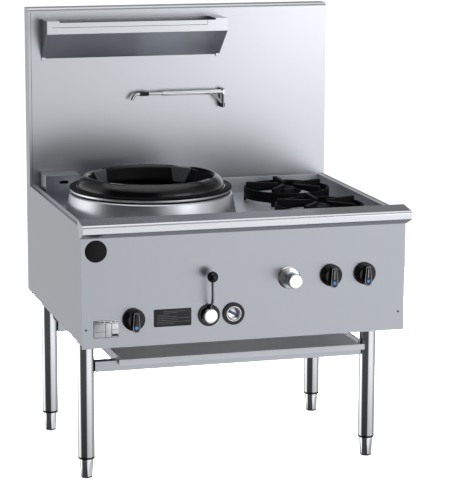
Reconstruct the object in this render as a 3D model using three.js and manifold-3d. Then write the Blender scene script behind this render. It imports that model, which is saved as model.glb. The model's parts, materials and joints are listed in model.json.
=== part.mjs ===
// Commercial gas wok range: a cabinet on four legs, one wok station, two open burners,
// a splashback with a condiment shelf and a swivelling spout, and a drip tray on runners.
// Millimetres, +Z up, +X right, +Y back; the front panel's face is the plane y = 0.
import * as THREE from 'three';
import { mergeVertices } from 'three/addons/utils/BufferGeometryUtils.js';
import Module from 'manifold-3d';

const wasm = await Module();
wasm.setup();

// ---------- driving dimensions ----------
// Cabinet
const fit = 0.3;                 // seating gap between touching pieces
const sheet = 1.5;               // cabinet sheet metal
const bodyWidth = 944;
const bodyBack = 780;
const panelBottom = 419;         // clear height under the front panel
const panelHeight = 310;
const panelReturn = 25;          // fold along the panel's foot
const sideLift = 8;              // side and rear panels stop this far above the front panel's foot
const rimRise = 31;              // from the front panel up to the pan's rim
const rimReturn = 8;             // inward fold on top of the side panels
const splashRise = 540;          // splashback above the rim
const splashDepth = 51.2;
const splashNose = 11;           // radius of the splashback's top front bend

// Front rail
const railReach = 40;            // how far the nosing stands in front of the panel
const railBack = 28;
const railRise = 19.5;           // rail's back edge above the rim
const railSlope = 7.5;           // fall from back to front
const railFace = 24;
const railBend = 9;
const railHem = 3;
const railOverhang = 4;
const railClear = 1.2;            // side panel's gap under the rail's end

// Legs and feet
const legInset = 47.1;
const legFrontY = 173.3;
const legRearY = 691.1;
const legRadius = 24.15;
const legWall = 1.5;
const legBottom = 62.4;
const legPlate = 80;
const legPlateThickness = 4;
const footTopRadius = 19.75;
const footBaseRadius = 17.3;
const footFlats = 6;
const footFlatReach = 14.8;      // from the foot's middle to a flat, at the floor
const footStemRadius = 8;
const footStemLength = 64;
const collarHeight = 5.7;
const collarPlugDepth = 25;
const frameRailWidth = 65;
const frameRailHeight = 40;
const frameRailWall = 2;
const frameRailLift = 10.1;      // above the front panel's foot

// Drip tray and what carries it
const crossRailDrop = 77.5;      // below the front panel
const crossRailHeight = 31;
const crossRailDepth = 28;
const crossRailWall = 2;
const runnerSheet = 2;
const runnerFoot = 20;
const runnerDrop = 13;
const runnerRise = 14;
const trayLeftGap = 91.9;        // from the leg's middle
const trayRightGap = 31.9;
const trayFrontLead = 27.3;      // ahead of the front legs' middle
const trayRearLead = 5.1;        // ahead of the rear legs' middle
const traySheet = 1.5;
const trayWall = 12;
const trayLip = 17;
const trayEar = 14;              // lip's overhang on the right
const traySlideGap = 2;          // side clearance to the runner webs

// Hob pan
const panDepth = 50;
const panSheet = 2;
const panRimWidth = 20;
const panFront = 29.8;
const drainInset = 83.5;
const drainWidth = 105;
const drainDepth = 88;
const drainHeight = 93;
const drainSlotWidth = 26;
const drainSlotHeight = 9;
const drainSlotDrop = 21;
const drainSlotShift = 3;
const drainPipeRadius = 21;
const drainPipeWall = 3;
const drainPipeLength = 70;

// Wok station
const wokInset = 292;            // from the left side to the wok's middle
const wokY = 380;
const collarBottomRadius = 254;
const collarTopRadius = 238;
const collarRise = 78;
const collarSheet = 2;
const collarShoulder = 3;
const neckInset = 7;             // from the collar's top radius
const neckRise = 5.2;            // groove between the collar and its lip
const lipOverhang = 5;           // beyond the neck
const lipHeight = 6.5;
const ringOverhang = 1;          // beyond the collar's lip
const ringFlangeThickness = 6;
const ringRise = 38.3;           // crest above the collar's lip
const crownWidth = 26;           // from the crown's foot to its crest
const ringBoreInset = 19;        // from the crest's radius to the bore's
const ringFlangeWidth = 22;      // flat outside the crown
const crownFlatness = 1.2;       // 1 is an ellipse; more is flatter
const ringWall = 8;
const ringSkirt = 8;             // how far the bore reaches below the flange
const lugCount = 4;
const lugTopWidth = 70;
const lugFootWidth = 42;
const lugTopDrop = 3;
const lugFootDrop = 8;
const lugDepth = 7;
const chamberRadius = 205;
const chamberWall = 10;
const chamberRoom = 10;          // to the edge of the pan's hole
const chamberFlange = 15;
const chamberFlangeThickness = 3;
const chamberLift = 51;          // above the front panel's foot
const chamberFloorHole = 24;
const wokJetCount = 7;
const wokBurnerRadius = 62;
const wokBurnerLift = 141;
const wokBurnerSeat = 12;
const wokHeadHeight = 16;
const jetRadius = 7;
const jetHeight = 12;
const jetCircle = 42;
const wokTubeRadius = 21;
const wokTubeDrop = 22;          // below the chamber
const wokPipeRadius = 10.5;
const wokPipeCup = 4;
const wokPipeRun = 40;           // behind the valves

// Open burners
const burnerInset = 178;
const burnerFrontY = 242;
const burnerRearY = 560;
const burnerHoleRadius = 62;
const burnerCupRoom = 8;
const burnerRimWidth = 12;
const bowlWall = 4;
const bowlDepth = 24;
const burnerRise = 28;           // above the pan's floor
const burnerTubeRadius = 14;
const burnerTubeDrop = 70;
const capRadius = 46;
const capHeight = 11;
const capSpigot = 9;
const trivetRadius = 131;
const trivetRingWall = 8;
const trivetRingLift = 12;       // above the pan's floor
const trivetRingHeight = 31;
const trivetArmRise = 13;
const trivetArms = 5;
const trivetArmWidth = 12;
const trivetArmInner = 26;
const trivetArmBite = 1.5;       // of an arm's end into the ring
const trivetTipDepth = 9;
const trivetArmDepth = 31;
const trivetPost = 12;

// Condiment shelf
const shelfInset = 40;
const shelfLength = 558;
const shelfReach = 94.8;         // in front of the splashback
const shelfDrop = 33;            // below the splashback's top
const shelfHeight = 120;
const shelfLip = 39;
const shelfEndBlock = 38;
const shelfFloorDrop = 34;
const shelfLipStep = 5;
const shelfTabWidth = 12;
const shelfTabDrop = 5;
const shelfTabThickness = 4;

// Controls
const controlLift = 77;          // lower row above the front panel's foot
const controlSpread = 94.5;      // upper row above the lower row
const pilotInset = 146.5;
const leverX = -109.5;
const sightX = -38;
const tapInset = 347.2;
const frontKnobInset = 223;
const rearKnobInset = 122;
const manifoldLift = 126;
const manifoldY = 64;
const manifoldRadius = 10.5;
const inletInset = 35;
const fittingWall = 3;
const bracketWidth = 26;
const bracketThickness = 4;
const valveWidth = 28;
const valveBack = 74;
const valveNeck = 15;
const valveSaddle = 20;
const wokValveWidth = 34;
const spindleRadius = 4;
const spindleReach = 27;
const spindleInside = 30;
const spindleRoom = 1;
const knobRadius = 31.5;
const knobSkirt = 7;
const knobReach = 35;
const knobStandOff = 4.5;        // push travel left behind the knob
const knobBossRadius = 22;
const knobBossHeight = 8;
const knobGripTop = 15;          // width of the grip bar at its top
const knobGripFoot = 23;
const knobGripUp = 25;
const knobGripDown = 30.5;
const bezelRadius = 31.4;
const bezelThickness = 4;
const hubRadius = 21;
const hubReach = 21;
const leverSlot = 10;
const leverRootReach = 7;
const rodRadius = 3.75;
const ballRadius = 15.6;
const ballRise = 116;            // above the lever's pivot
const ballY = -40;
const socketShare = 0.8;         // of the ball's radius, where the rod ends
const sightRadius = 31.5;
const sightBore = 22;
const sightReach = 6;
const sightTubeLength = 118;
const sightTubeWall = 2;
const sightGlassDepth = 6;
const tapFlangeRadius = 32.6;
const tapFlangeThickness = 5;
const tapReach = 64;
const tapNeckRadius = 13;
const tapKnobRadius = 21;
const tapWaist = 12;             // length of the narrower foot of the handle
const waterValveWidth = 34;
const waterPipeRadius = 8;
const waterPipeLength = 28;
const nutFlats = 6;

// Spout
const spoutGap = 5;              // from the shelf's end
const spoutDrop = 233.5;         // below the shelf's top
const spoutY = 703;
const spoutPlateWidth = 11;
const spoutLug = 3;              // thickness of the bracket's two lugs
const spoutPlateDrop = 48.5;
const spoutPlateThickness = 4;
const spoutPinRadius = 4;
const armRadius = 7.25;
const armLength = 194;           // thick tube, from the swivel
const eyeWall = 3;
const braceWidth = 10;
const braceReach = 28;
const braceThickness = 5;
const tubeRadius = 4.7;
const tubeWall = 1.2;
const stubInside = 60;           // inner tube's length inside the arm
const tubeLength = 42;
const sleeveLength = 28;
const sleeveRadius = 6.25;
const nozzleLength = 25;
const nozzleDrop = 19;

const grid = 1024;               // corners snap to this fraction of a millimetre
const tiny = 12;                 // facets of spindles and jets
const small = 16;                // facets of small round pieces
const medium = 24;
const large = 48;
const reach = 5;                 // how far a cutting tool passes a face
const weld = 1;                  // how deep joined bodies run into each other

// ---------- derived places ----------
const half = bodyWidth / 2;
const inner = half - sheet;
const panelTop = panelBottom + panelHeight;
const sideBottom = panelBottom + sideLift;
const rimHeight = panelTop + rimRise;
const overallHeight = rimHeight + splashRise;
const splashFront = bodyBack - splashDepth;

const railTop = rimHeight + railRise;
const railFrontTop = railTop - railSlope;
const railFaceBottom = railFrontTop - railFace;

const legX = half - legInset;
const frameRailBottom = panelBottom + frameRailLift;
const legPlateTop = frameRailBottom - fit;
const crossRailTop = panelBottom - crossRailDrop;
const crossRailBottom = crossRailTop - crossRailHeight;
const trayFront = legFrontY - trayFrontLead;
const trayRear = legRearY - trayRearLead;
const trayFloorBottom = crossRailTop + fit + runnerSheet + fit;
const trayLeft = trayLeftGap - legX;
const trayRight = legX - trayRightGap;
const trayLipRight = trayRight + trayEar;

const panFloor = rimHeight - panDepth;
const panHalfWidth = half - panRimWidth;
const panRear = splashFront - sheet;
const drainX = drainInset - half;
const drainY = panRear - sheet - fit - drainDepth / 2;
const drainTop = panFloor + drainHeight;

const wokX = wokInset - half;
const collarTop = panFloor + collarRise;
const neckRadius = collarTopRadius - neckInset;
const lipRadius = neckRadius + lipOverhang;
const lipBottom = collarTop + neckRise;
const lipTop = lipBottom + lipHeight;
const ringRadius = lipRadius + ringOverhang;
const ringCrownFoot = ringRadius - ringFlangeWidth;
const ringCrestRadius = ringCrownFoot - crownWidth;
const ringBoreRadius = ringCrestRadius - ringBoreInset;
const ringCrest = lipTop + ringRise;
const chamberBottom = panelBottom + chamberLift;
const chamberTop = collarTop - collarSheet;
const chamberFlangeRadius = chamberRadius + chamberRoom + chamberFlange;
const wokHoleRadius = chamberRadius + chamberRoom;
const wokBurnerTop = panelBottom + wokBurnerLift;
const wokTubeFoot = chamberBottom - wokTubeDrop;

const burnerX = half - burnerInset;
const burnerTop = panFloor + burnerRise;
const burnerTubeBottom = panFloor - burnerTubeDrop;
const trivetRingBottom = panFloor + trivetRingLift;
const trivetRingTop = trivetRingBottom + trivetRingHeight;
const trivetTop = trivetRingTop + trivetArmRise;
const trivetY = { front: burnerFrontY, rear: burnerRearY };

const shelfLeft = shelfInset - half;
const shelfRight = shelfLeft + shelfLength;
const shelfFront = splashFront - shelfReach;
const shelfTop = overallHeight - shelfDrop;
const shelfFoot = shelfTop - shelfHeight;

const controlLow = panelBottom + controlLift;
const controlHigh = controlLow + controlSpread;
const pilotX = pilotInset - half;
const tapX = half - tapInset;
const frontKnobX = half - frontKnobInset;
const rearKnobX = half - rearKnobInset;
const ballZ = controlLow + ballRise;
const manifoldZ = panelBottom + manifoldLift;
const manifoldTop = manifoldZ + manifoldRadius;
const inletX = half - inletInset;
const spindleDepth = sheet + fit + spindleInside;
const tapSeat = fit + tapFlangeThickness + spindleRadius + fit;

const spoutX = shelfRight + spoutGap;
const spoutZ = shelfTop - spoutDrop;
const spoutPlateFoot = spoutZ - spoutPlateDrop;
const spoutPlateTop = spoutZ + armRadius + fit + spoutLug;
const armEndX = spoutX - armLength;
const sleeveStartX = armEndX - tubeLength;
const sleeveEndX = sleeveStartX - sleeveLength;
const nozzleEndX = sleeveEndX - nozzleLength;

// ---------- materials ----------
function metal(color, roughness, metalness) {
  return new THREE.MeshStandardMaterial({ color, roughness, metalness });
}
const satin = () => metal(0xb4b8bf, 0.35, 0.9);
const polished = () => metal(0xd4d6da, 0.15, 1.0);
const chrome = () => metal(0xdcdfe3, 0.08, 1.0);
const castIron = () => metal(0x1b1b1d, 0.7, 0.3);
const enamel = () => metal(0x0b0b0c, 0.12, 0.1);
const blackPlastic = () => metal(0x141517, 0.4, 0.0);
const brass = () => metal(0xb08d4a, 0.35, 0.9);
const galvanised = () => metal(0x9a9da1, 0.5, 0.8);

// ---------- solid helpers ----------
function solid(geometry) {
  const bare = geometry.clone();
  bare.deleteAttribute('normal');
  bare.deleteAttribute('uv');
  const places = bare.attributes.position.array;
  for (let i = 0; i < places.length; i += 1) places[i] = Math.round(places[i] * grid) / grid;
  const merged = mergeVertices(bare, 1e-3);
  const corners = Array.from(merged.index.array);
  const body = closed(merged, corners);
  return body.volume() > 0 ? body : closed(merged, corners.reverse());
}

function closed(geometry, corners) {
  return new wasm.Manifold(new wasm.Mesh({
    numProp: 3,
    vertProperties: new Float32Array(geometry.attributes.position.array),
    triVerts: new Uint32Array(corners),
  }));
}

function surface(body) {
  const mesh = body.getMesh();
  const geometry = new THREE.BufferGeometry();
  geometry.setAttribute('position', new THREE.BufferAttribute(mesh.vertProperties, 3));
  geometry.setIndex(new THREE.BufferAttribute(mesh.triVerts, 1));
  geometry.computeVertexNormals();
  return geometry;
}

const join = (...bodies) => bodies.reduce((all, body) => all.add(body));
const cut = (body, ...tools) => tools.reduce((rest, tool) => rest.subtract(tool), body);

function block(x0, x1, y0, y1, z0, z1) {
  const geometry = new THREE.BoxGeometry(x1 - x0, y1 - y0, z1 - z0);
  geometry.translate((x0 + x1) / 2, (y0 + y1) / 2, (z0 + z1) / 2);
  return solid(geometry);
}

// Turned piece about +Z from (radius, height) points given counter-clockwise.
function turned(points, facets) {
  const outline = points.map(([r, z]) => new THREE.Vector2(r, z));
  const geometry = new THREE.LatheGeometry(outline, facets);
  geometry.rotateX(Math.PI / 2);
  return solid(geometry);
}

// Corner radius of a faceted hole whose flats clear a round piece that may turn in it.
const around = (radius, facets) => (radius + fit) / Math.cos(Math.PI / facets);

function disc(radius, z0, z1, facets) {
  return turned([[0, z0], [radius, z0], [radius, z1], [0, z1]], facets);
}

function pipe(outer, bore, z0, z1, facets) {
  return turned([[bore, z0], [outer, z0], [outer, z1], [bore, z1], [bore, z0]], facets);
}

function moved(body, x, y, z) {
  return body.translate([x, y, z]);
}

// The piece as made for the right side, or its mirror image for the left.
function onSide(body, side) {
  return side > 0 ? body : body.mirror([1, 0, 0]);
}

// Turn a piece made about +Z so that its +Z points forward, out of the panel (-Y).
const facingFront = (body) => body.rotate([90, 0, 0]);
const alongX = (body) => body.rotate([0, 90, 0]);

function frontDisc(x, z, radius, y0, y1, facets) {
  return moved(facingFront(disc(radius, -y1, -y0, facets)), x, 0, z);
}

function frontPipe(x, z, outer, bore, y0, y1, facets) {
  return moved(facingFront(pipe(outer, bore, -y1, -y0, facets)), x, 0, z);
}

// Prism along X from a (y, z) outline given counter-clockwise as seen from +X.
function prismX(outline, x0, x1) {
  const shape = new THREE.Shape(outline.map(([y, z]) => new THREE.Vector2(y, z)));
  const geometry = new THREE.ExtrudeGeometry(shape, { depth: x1 - x0, bevelEnabled: false });
  const frame = new THREE.Matrix4().makeBasis(
    new THREE.Vector3(0, 1, 0), new THREE.Vector3(0, 0, 1), new THREE.Vector3(1, 0, 0));
  geometry.applyMatrix4(frame);
  geometry.translate(x0, 0, 0);
  return solid(geometry);
}

// Points on an arc, from one angle to another, in degrees.
function arc(cx, cy, radius, from, to, steps) {
  const points = [];
  for (let i = 0; i <= steps; i += 1) {
    const angle = THREE.MathUtils.degToRad(from + (to - from) * i / steps);
    points.push([cx + radius * Math.cos(angle), cy + radius * Math.sin(angle)]);
  }
  return points;
}

const group = new THREE.Group();

function piece(name, body, material) {
  const mesh = new THREE.Mesh(surface(body), material);
  mesh.name = name;
  group.add(mesh);
}

// ---------- cabinet ----------
function frontPanel() {
  const plate = block(-half, half, 0, sheet, panelBottom, panelTop);
  const foot = block(-half, half, 0, panelReturn, panelBottom, panelBottom + sheet);
  const spindleHole = spindleRadius + spindleRoom;
  const holes = [
    [pilotX, controlLow, spindleHole],
    [frontKnobX, controlHigh, spindleHole],
    [rearKnobX, controlHigh, spindleHole],
    [leverX, controlLow, spindleHole],
    [sightX, controlLow, around(sightBore, small)],
    [tapX, controlHigh, around(tapNeckRadius, small)],
  ].map(([x, z, radius]) => frontDisc(x, z, radius, -reach, reach, small));
  return cut(join(plate, foot), ...holes);
}

// Section of the rail from its top back corner, round the nosing, to the foot of its underside.
function railSection(inset) {
  const topFall = railSlope / (railBack + railReach);
  const frontY = inset - railReach;
  const backY = railBack - inset;
  const frontTop = railFrontTop - inset;
  const bend = railBend - inset;
  const run = railReach - railHem;
  const rise = railFaceBottom - railHem - panelTop - fit;
  const thickness = inset * Math.hypot(run, rise) / run;
  return [
    [backY, frontTop + topFall * (backY + railReach)],
    ...arc(frontY + bend, frontTop - bend, bend, 95, 180, 5),
    [frontY, railFaceBottom],
    [frontY + railHem, railFaceBottom - railHem + thickness],
    [0, panelTop + fit + thickness],
  ];
}

function frontRail() {
  const end = half + railOverhang;
  const bar = prismX([...railSection(0), [railBack, rimHeight - sheet - fit]], -end, end);
  const hollow = prismX([
    ...railSection(sheet), [0, panelTop - reach], [railBack - sheet, panelTop - reach],
  ], -end + sheet, end - sheet);
  return cut(bar, hollow);
}

function sidePanel(side) {
  const start = sheet + fit;
  const back = bodyBack - sheet - fit;
  const seatFront = railBack + fit;
  const railLine = (y) => panelTop - railClear + (rimHeight - sheet - panelTop) * y / railBack;
  const wall = prismX([
    [start, sideBottom], [back, sideBottom], [back, rimHeight], [seatFront, rimHeight],
    [seatFront, railLine(railBack)], [start, railLine(start)],
  ], half - sheet, half);
  const lip = block(half - rimReturn, half, seatFront, back, rimHeight - sheet, rimHeight);
  return onSide(join(wall, lip), side);
}

function rearPanel() {
  const plate = block(-half, half, bodyBack - sheet, bodyBack, sideBottom, overallHeight);
  const inlet = frontDisc(inletX, manifoldZ, around(manifoldRadius, small),
    bodyBack - reach, bodyBack + reach, small);
  return cut(plate, inlet);
}

function hobPan() {
  const rimEdge = half - rimReturn - fit;
  const seatBack = bodyBack - sheet - fit;
  const tub = block(-panHalfWidth, panHalfWidth, panFront, panRear, panFloor - panSheet, rimHeight);
  const room = block(-panHalfWidth + sheet, panHalfWidth - sheet, panFront + sheet, panRear - sheet,
    panFloor, rimHeight + reach);
  const rims = [1, -1].map((side) => onSide(
    block(panHalfWidth - sheet, rimEdge, panFront, panRear, rimHeight - sheet, rimHeight), side));
  const ledge = block(-rimEdge, rimEdge, panRear - sheet, seatBack, rimHeight - sheet, rimHeight);
  const through = (radius, x, y, facets) => (
    moved(disc(radius, panFloor - reach, panFloor + reach, facets), x, y, 0));
  const burnerHoles = Object.values(trivetY).map((y) => through(burnerHoleRadius, burnerX, y, medium));
  return cut(join(cut(tub, room), ...rims, ledge, drainOutlet()),
    through(wokHoleRadius, wokX, wokY, large),
    through(drainPipeRadius - drainPipeWall, drainX, drainY, small), ...burnerHoles);
}

// Outlet welded under the pan.
function drainOutlet() {
  const top = panFloor - panSheet / 2;
  return moved(pipe(drainPipeRadius, drainPipeRadius - drainPipeWall, top - drainPipeLength, top, small),
    drainX, drainY, 0);
}

function drainCoverBox() {
  const back = panRear - sheet - fit;
  const front = back - drainDepth;
  const x0 = drainX - drainWidth / 2;
  const x1 = drainX + drainWidth / 2;
  const z0 = panFloor + fit;
  const shell = block(x0, x1, front, back, z0, drainTop);
  const room = block(x0 + sheet, x1 - sheet, front + sheet, back + reach, z0 - reach, drainTop - sheet);
  const slotZ = drainTop - drainSlotDrop;
  const slotX = drainX + drainSlotShift;
  const slot = block(slotX - drainSlotWidth / 2, slotX + drainSlotWidth / 2, front - reach, front + reach,
    slotZ - drainSlotHeight / 2, slotZ + drainSlotHeight / 2);
  return cut(shell, room, slot);
}

// ---------- splashback ----------
function splashOutline(inset) {
  const top = overallHeight - inset;
  const front = splashFront + inset;
  const back = bodyBack - sheet - fit;
  const nose = splashNose - inset;
  return [
    [front, rimHeight + fit],
    [back, rimHeight + fit],
    [back, top],
    ...arc(front + nose, top - nose, nose, 90, 180, 6),
  ];
}

function splashback() {
  const back = bodyBack - sheet - fit;
  const floor = rimHeight + fit + sheet;
  const shell = prismX(splashOutline(0), -half, half);
  const [, , , ...noseInside] = splashOutline(sheet);
  const room = prismX([
    [splashFront + sheet, floor],
    [back + reach, floor],
    [back + reach, overallHeight - sheet],
    ...noseInside,
  ], -half + sheet, half - sheet);
  return cut(shell, room);
}

// Trough for pans, with a sloping underside, hollow ends and two fixing tabs at its foot.
function condimentShelf() {
  const wall = splashFront - fit;
  const lipFoot = shelfTop - shelfLip;
  const outer = [[wall, shelfTop], [shelfFront, shelfTop], [shelfFront, lipFoot], [wall, shelfFoot]];
  const body = prismX(outer, shelfLeft, shelfRight);
  const slope = (lipFoot - shelfFoot) / (wall - shelfFront);
  const floor = shelfTop - shelfFloorDrop;
  const troughLeft = shelfLeft + shelfEndBlock;
  const troughRight = shelfRight - shelfEndBlock;
  const trough = block(troughLeft, troughRight, shelfFront + sheet, wall - sheet, floor, shelfTop + reach);
  const lipNotch = block(troughLeft, troughRight, shelfFront - reach, shelfFront + reach,
    shelfTop - shelfLipStep, shelfTop + reach);
  const under = prismX([
    [wall + reach, floor - sheet],
    [shelfFront + sheet, floor - sheet],
    [shelfFront + sheet, lipFoot + sheet],
    [wall - sheet, shelfFoot + sheet * (1 + slope)],
    [wall + reach, shelfFoot + sheet * (1 + slope)],
  ], shelfLeft + sheet, shelfRight - sheet);
  const endRooms = [[shelfLeft + sheet, troughLeft - sheet], [troughRight + sheet, shelfRight - sheet]]
    .map(([x0, x1]) => block(x0, x1, shelfFront + sheet, wall + reach, floor - 2 * sheet, shelfTop - sheet));
  const tabs = [shelfLeft, shelfRight - shelfTabWidth].map((x) => block(x, x + shelfTabWidth,
    wall - shelfTabThickness, wall, shelfFoot - shelfTabDrop, shelfFoot + shelfTabThickness));
  return join(cut(body, trough, lipNotch, under, ...endRooms), ...tabs);
}

// ---------- base: frame rails, legs, feet, drip tray ----------
function frameRail(side) {
  const x1 = inner - fit;
  const x0 = x1 - frameRailWidth;
  const y0 = sheet + fit;
  const y1 = bodyBack - sheet - fit;
  const z1 = frameRailBottom + frameRailHeight;
  const tube = block(x0, x1, y0, y1, frameRailBottom, z1);
  const bore = block(x0 + frameRailWall, x1 - frameRailWall, y0 - reach, y1 + reach,
    frameRailBottom + frameRailWall, z1 - frameRailWall);
  return onSide(cut(tube, bore), side);
}

// Tube with its fixing plate welded on top.
function leg() {
  const plate = block(-legPlate / 2, legPlate / 2, -legPlate / 2, legPlate / 2,
    legPlateTop - legPlateThickness, legPlateTop);
  const tube = pipe(legRadius, legRadius - legWall, legBottom, legPlateTop - weld, medium);
  return join(plate, tube);
}

function legCollar() {
  const top = legBottom - fit;
  const bore = around(footStemRadius, small);
  const plugRadius = legRadius - legWall - fit;
  return join(pipe(legRadius, bore, top - collarHeight, top, small),
    pipe(plugRadius, bore, top - weld, top + collarPlugDepth, small));
}

// Levelling foot: a round taper whose six flats grow towards the floor, on a stem.
function foot() {
  const top = legBottom - fit - collarHeight - fit;
  const edge = 1;
  const toCorner = 1 / Math.cos(Math.PI / footFlats);
  const taper = turned([
    [0, 0], [footBaseRadius - edge, 0], [footBaseRadius, edge],
    [footTopRadius, top - edge], [footTopRadius - edge, top], [0, top],
  ], medium);
  const flats = turned([
    [0, -weld], [footFlatReach * toCorner, -weld], [footTopRadius * toCorner, top + weld], [0, top + weld],
  ], footFlats);
  const stem = disc(footStemRadius, top - weld, top + footStemLength, small);
  return join(taper.intersect(flats), stem);
}

function crossRail(legY) {
  const end = legX - legRadius - fit;
  const y0 = legY - crossRailDepth / 2;
  const y1 = legY + crossRailDepth / 2;
  return cut(block(-end, end, y0, y1, crossRailBottom, crossRailTop),
    block(-end - reach, end + reach, y0 + crossRailWall, y1 - crossRailWall,
      crossRailBottom + crossRailWall, crossRailTop - crossRailWall));
}

// An angle with its foot under the tray; its web hangs down between the cross rails.
function trayRunner(side) {
  const webInner = side > 0 ? trayRight + traySlideGap : trayLeft - traySlideGap;
  const webOuter = webInner + side * runnerSheet;
  const footEnd = webInner - side * runnerFoot;
  const [w0, w1] = [Math.min(webInner, webOuter), Math.max(webInner, webOuter)];
  const [f0, f1] = [Math.min(footEnd, webOuter), Math.max(footEnd, webOuter)];
  const seat = crossRailTop + fit;
  const y0 = legFrontY - crossRailDepth / 2;
  const y1 = legRearY + crossRailDepth / 2;
  const hangFront = legFrontY + crossRailDepth / 2 + fit;
  const hangRear = legRearY - crossRailDepth / 2 - fit;
  return join(
    block(f0, f1, y0, y1, seat, seat + runnerSheet),
    block(w0, w1, y0, y1, seat, seat + runnerSheet + runnerRise),
    block(w0, w1, hangFront, hangRear, seat - runnerDrop, seat + weld));
}

function dripTray() {
  const floorTop = trayFloorBottom + traySheet;
  const wallTop = floorTop + trayWall;
  const floor = block(trayLeft, trayRight, trayFront, trayRear, trayFloorBottom, floorTop);
  const walls = [
    block(trayLeft, trayLeft + traySheet, trayFront + trayWall, trayRear, trayFloorBottom, wallTop),
    block(trayRight - traySheet, trayRight, trayFront + trayWall, trayRear, trayFloorBottom, wallTop),
    block(trayLeft, trayRight, trayRear - traySheet, trayRear, trayFloorBottom, wallTop),
  ];
  const lip = block(trayLeft, trayLipRight, trayFront, trayFront + traySheet, floorTop - trayLip, floorTop);
  return join(floor, ...walls, lip);
}

// ---------- wok station ----------
// Cone of sheet with a neck and a rolled lip that the ring stands on.
function wokCollar() {
  const foot = panFloor + fit;
  const t = collarSheet;
  const edge = 1;
  return moved(turned([
    [collarBottomRadius - t, foot], [collarBottomRadius, foot],
    [collarTopRadius, collarTop - collarShoulder], [collarTopRadius - collarShoulder, collarTop],
    [neckRadius, collarTop], [neckRadius, lipBottom], [lipRadius, lipBottom + edge],
    [lipRadius, lipTop - edge], [lipRadius - edge, lipTop], [neckRadius - 2 * t, lipTop],
    [neckRadius - 2 * t, collarTop - t], [collarTopRadius - collarShoulder - t, collarTop - 2 * t],
    [collarBottomRadius - t, foot],
  ], large), wokX, wokY, 0);
}

// Tapered pad inside the ring, which a wok rests on; it leans with the bore.
function ringLug(angle) {
  const top = ringCrest - lugTopDrop;
  const bottom = lipTop - lugFootDrop;
  const outer = ringCrestRadius - ringWall;
  const innerTop = outer - lugDepth;
  const innerFoot = ringBoreRadius - ringWall;
  const shape = new THREE.Shape([
    [-lugTopWidth / 2, top], [-lugFootWidth / 2, bottom], [lugFootWidth / 2, bottom], [lugTopWidth / 2, top],
  ].map(([x, z]) => new THREE.Vector2(x, z)));
  const slab = new THREE.ExtrudeGeometry(shape, { depth: outer - innerFoot, bevelEnabled: false });
  slab.rotateX(Math.PI / 2);
  slab.translate(0, outer, 0);
  const front = prismX([
    [innerFoot - reach, bottom - reach], [innerFoot, bottom - reach], [innerTop, top + reach],
    [innerFoot - reach, top + reach],
  ], -lugTopWidth, lugTopWidth);
  return cut(solid(slab), front).rotate([0, 0, angle - 90]);
}

// Cast ring: a flat flange, a rounded crown, and a bore that narrows downwards.
function wokRing() {
  const flangeBottom = lipTop + fit;
  const flangeTop = flangeBottom + ringFlangeThickness;
  const edge = 1;
  const crown = [];
  const crownSteps = 6;
  for (let i = 0; i <= crownSteps; i += 1) {
    const turn = (Math.PI / 2) * i / crownSteps;
    crown.push([
      ringCrestRadius + (ringCrownFoot - ringCrestRadius) * Math.cos(turn) ** crownFlatness,
      flangeTop + (ringCrest - flangeTop) * Math.sin(turn) ** crownFlatness,
    ]);
  }
  const boreFoot = flangeBottom - ringSkirt;
  const ring = turned([
    [ringCrownFoot, flangeBottom], [ringRadius - edge, flangeBottom], [ringRadius, flangeBottom + edge],
    [ringRadius, flangeTop - edge], [ringRadius - edge, flangeTop],
    ...crown,
    [ringCrestRadius - ringWall / 2, ringCrest - 2 * edge],
    [ringCrestRadius - ringWall, ringCrest - ringWall],
    [ringBoreRadius, boreFoot + ringSkirt], [ringBoreRadius, boreFoot],
    [ringBoreRadius + ringWall / 2, boreFoot], [ringBoreRadius + ringWall, boreFoot + ringSkirt],
    [ringCrestRadius, ringCrest - 2 * ringWall],
    [ringCrownFoot - 2 * ringWall, flangeBottom], [ringCrownFoot, flangeBottom],
  ], large);
  const lugs = [];
  for (let i = 0; i < lugCount; i += 1) lugs.push(ringLug(45 + 360 * i / lugCount));
  return moved(join(ring, ...lugs), wokX, wokY, 0);
}

// Insulated combustion chamber hung by its flange under the pan.
function wokChamber() {
  const flangeTop = panFloor - panSheet - fit;
  const flangeFoot = flangeTop - chamberFlangeThickness;
  const inside = chamberRadius - chamberWall;
  const floorTop = chamberBottom + chamberWall;
  return moved(turned([
    [chamberFloorHole, chamberBottom], [chamberRadius, chamberBottom], [chamberRadius, flangeFoot],
    [chamberFlangeRadius, flangeFoot], [chamberFlangeRadius, flangeTop], [chamberRadius, flangeTop],
    [chamberRadius, chamberTop], [inside, chamberTop], [inside, floorTop],
    [chamberFloorHole, floorTop], [chamberFloorHole, chamberBottom],
  ], large), wokX, wokY, 0);
}

// Burner head with a ring of jets on a mixing tube that stands in the chamber's floor.
function wokBurner() {
  const floorTop = chamberBottom + chamberWall + fit;
  const seatRadius = chamberFloorHole + wokBurnerSeat;
  const headTop = wokBurnerTop - jetHeight;
  const headFoot = headTop - wokHeadHeight;
  const body = turned([
    [0, wokTubeFoot], [wokTubeRadius, wokTubeFoot], [wokTubeRadius, floorTop], [seatRadius, floorTop],
    [seatRadius, floorTop + wokHeadHeight / 4], [wokTubeRadius, floorTop + wokHeadHeight / 2],
    [wokTubeRadius, headFoot - wokHeadHeight / 2], [wokBurnerRadius, headFoot],
    [wokBurnerRadius, headTop], [0, headTop],
  ], medium);
  const jets = [disc(jetRadius, headTop - weld, wokBurnerTop, tiny)];
  const outerJets = wokJetCount - 1;
  for (let i = 0; i < outerJets; i += 1) {
    const angle = 2 * Math.PI * i / outerJets;
    jets.push(moved(jets[0], jetCircle * Math.cos(angle), jetCircle * Math.sin(angle), 0));
  }
  return moved(join(body, ...jets), wokX, wokY, 0);
}

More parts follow.
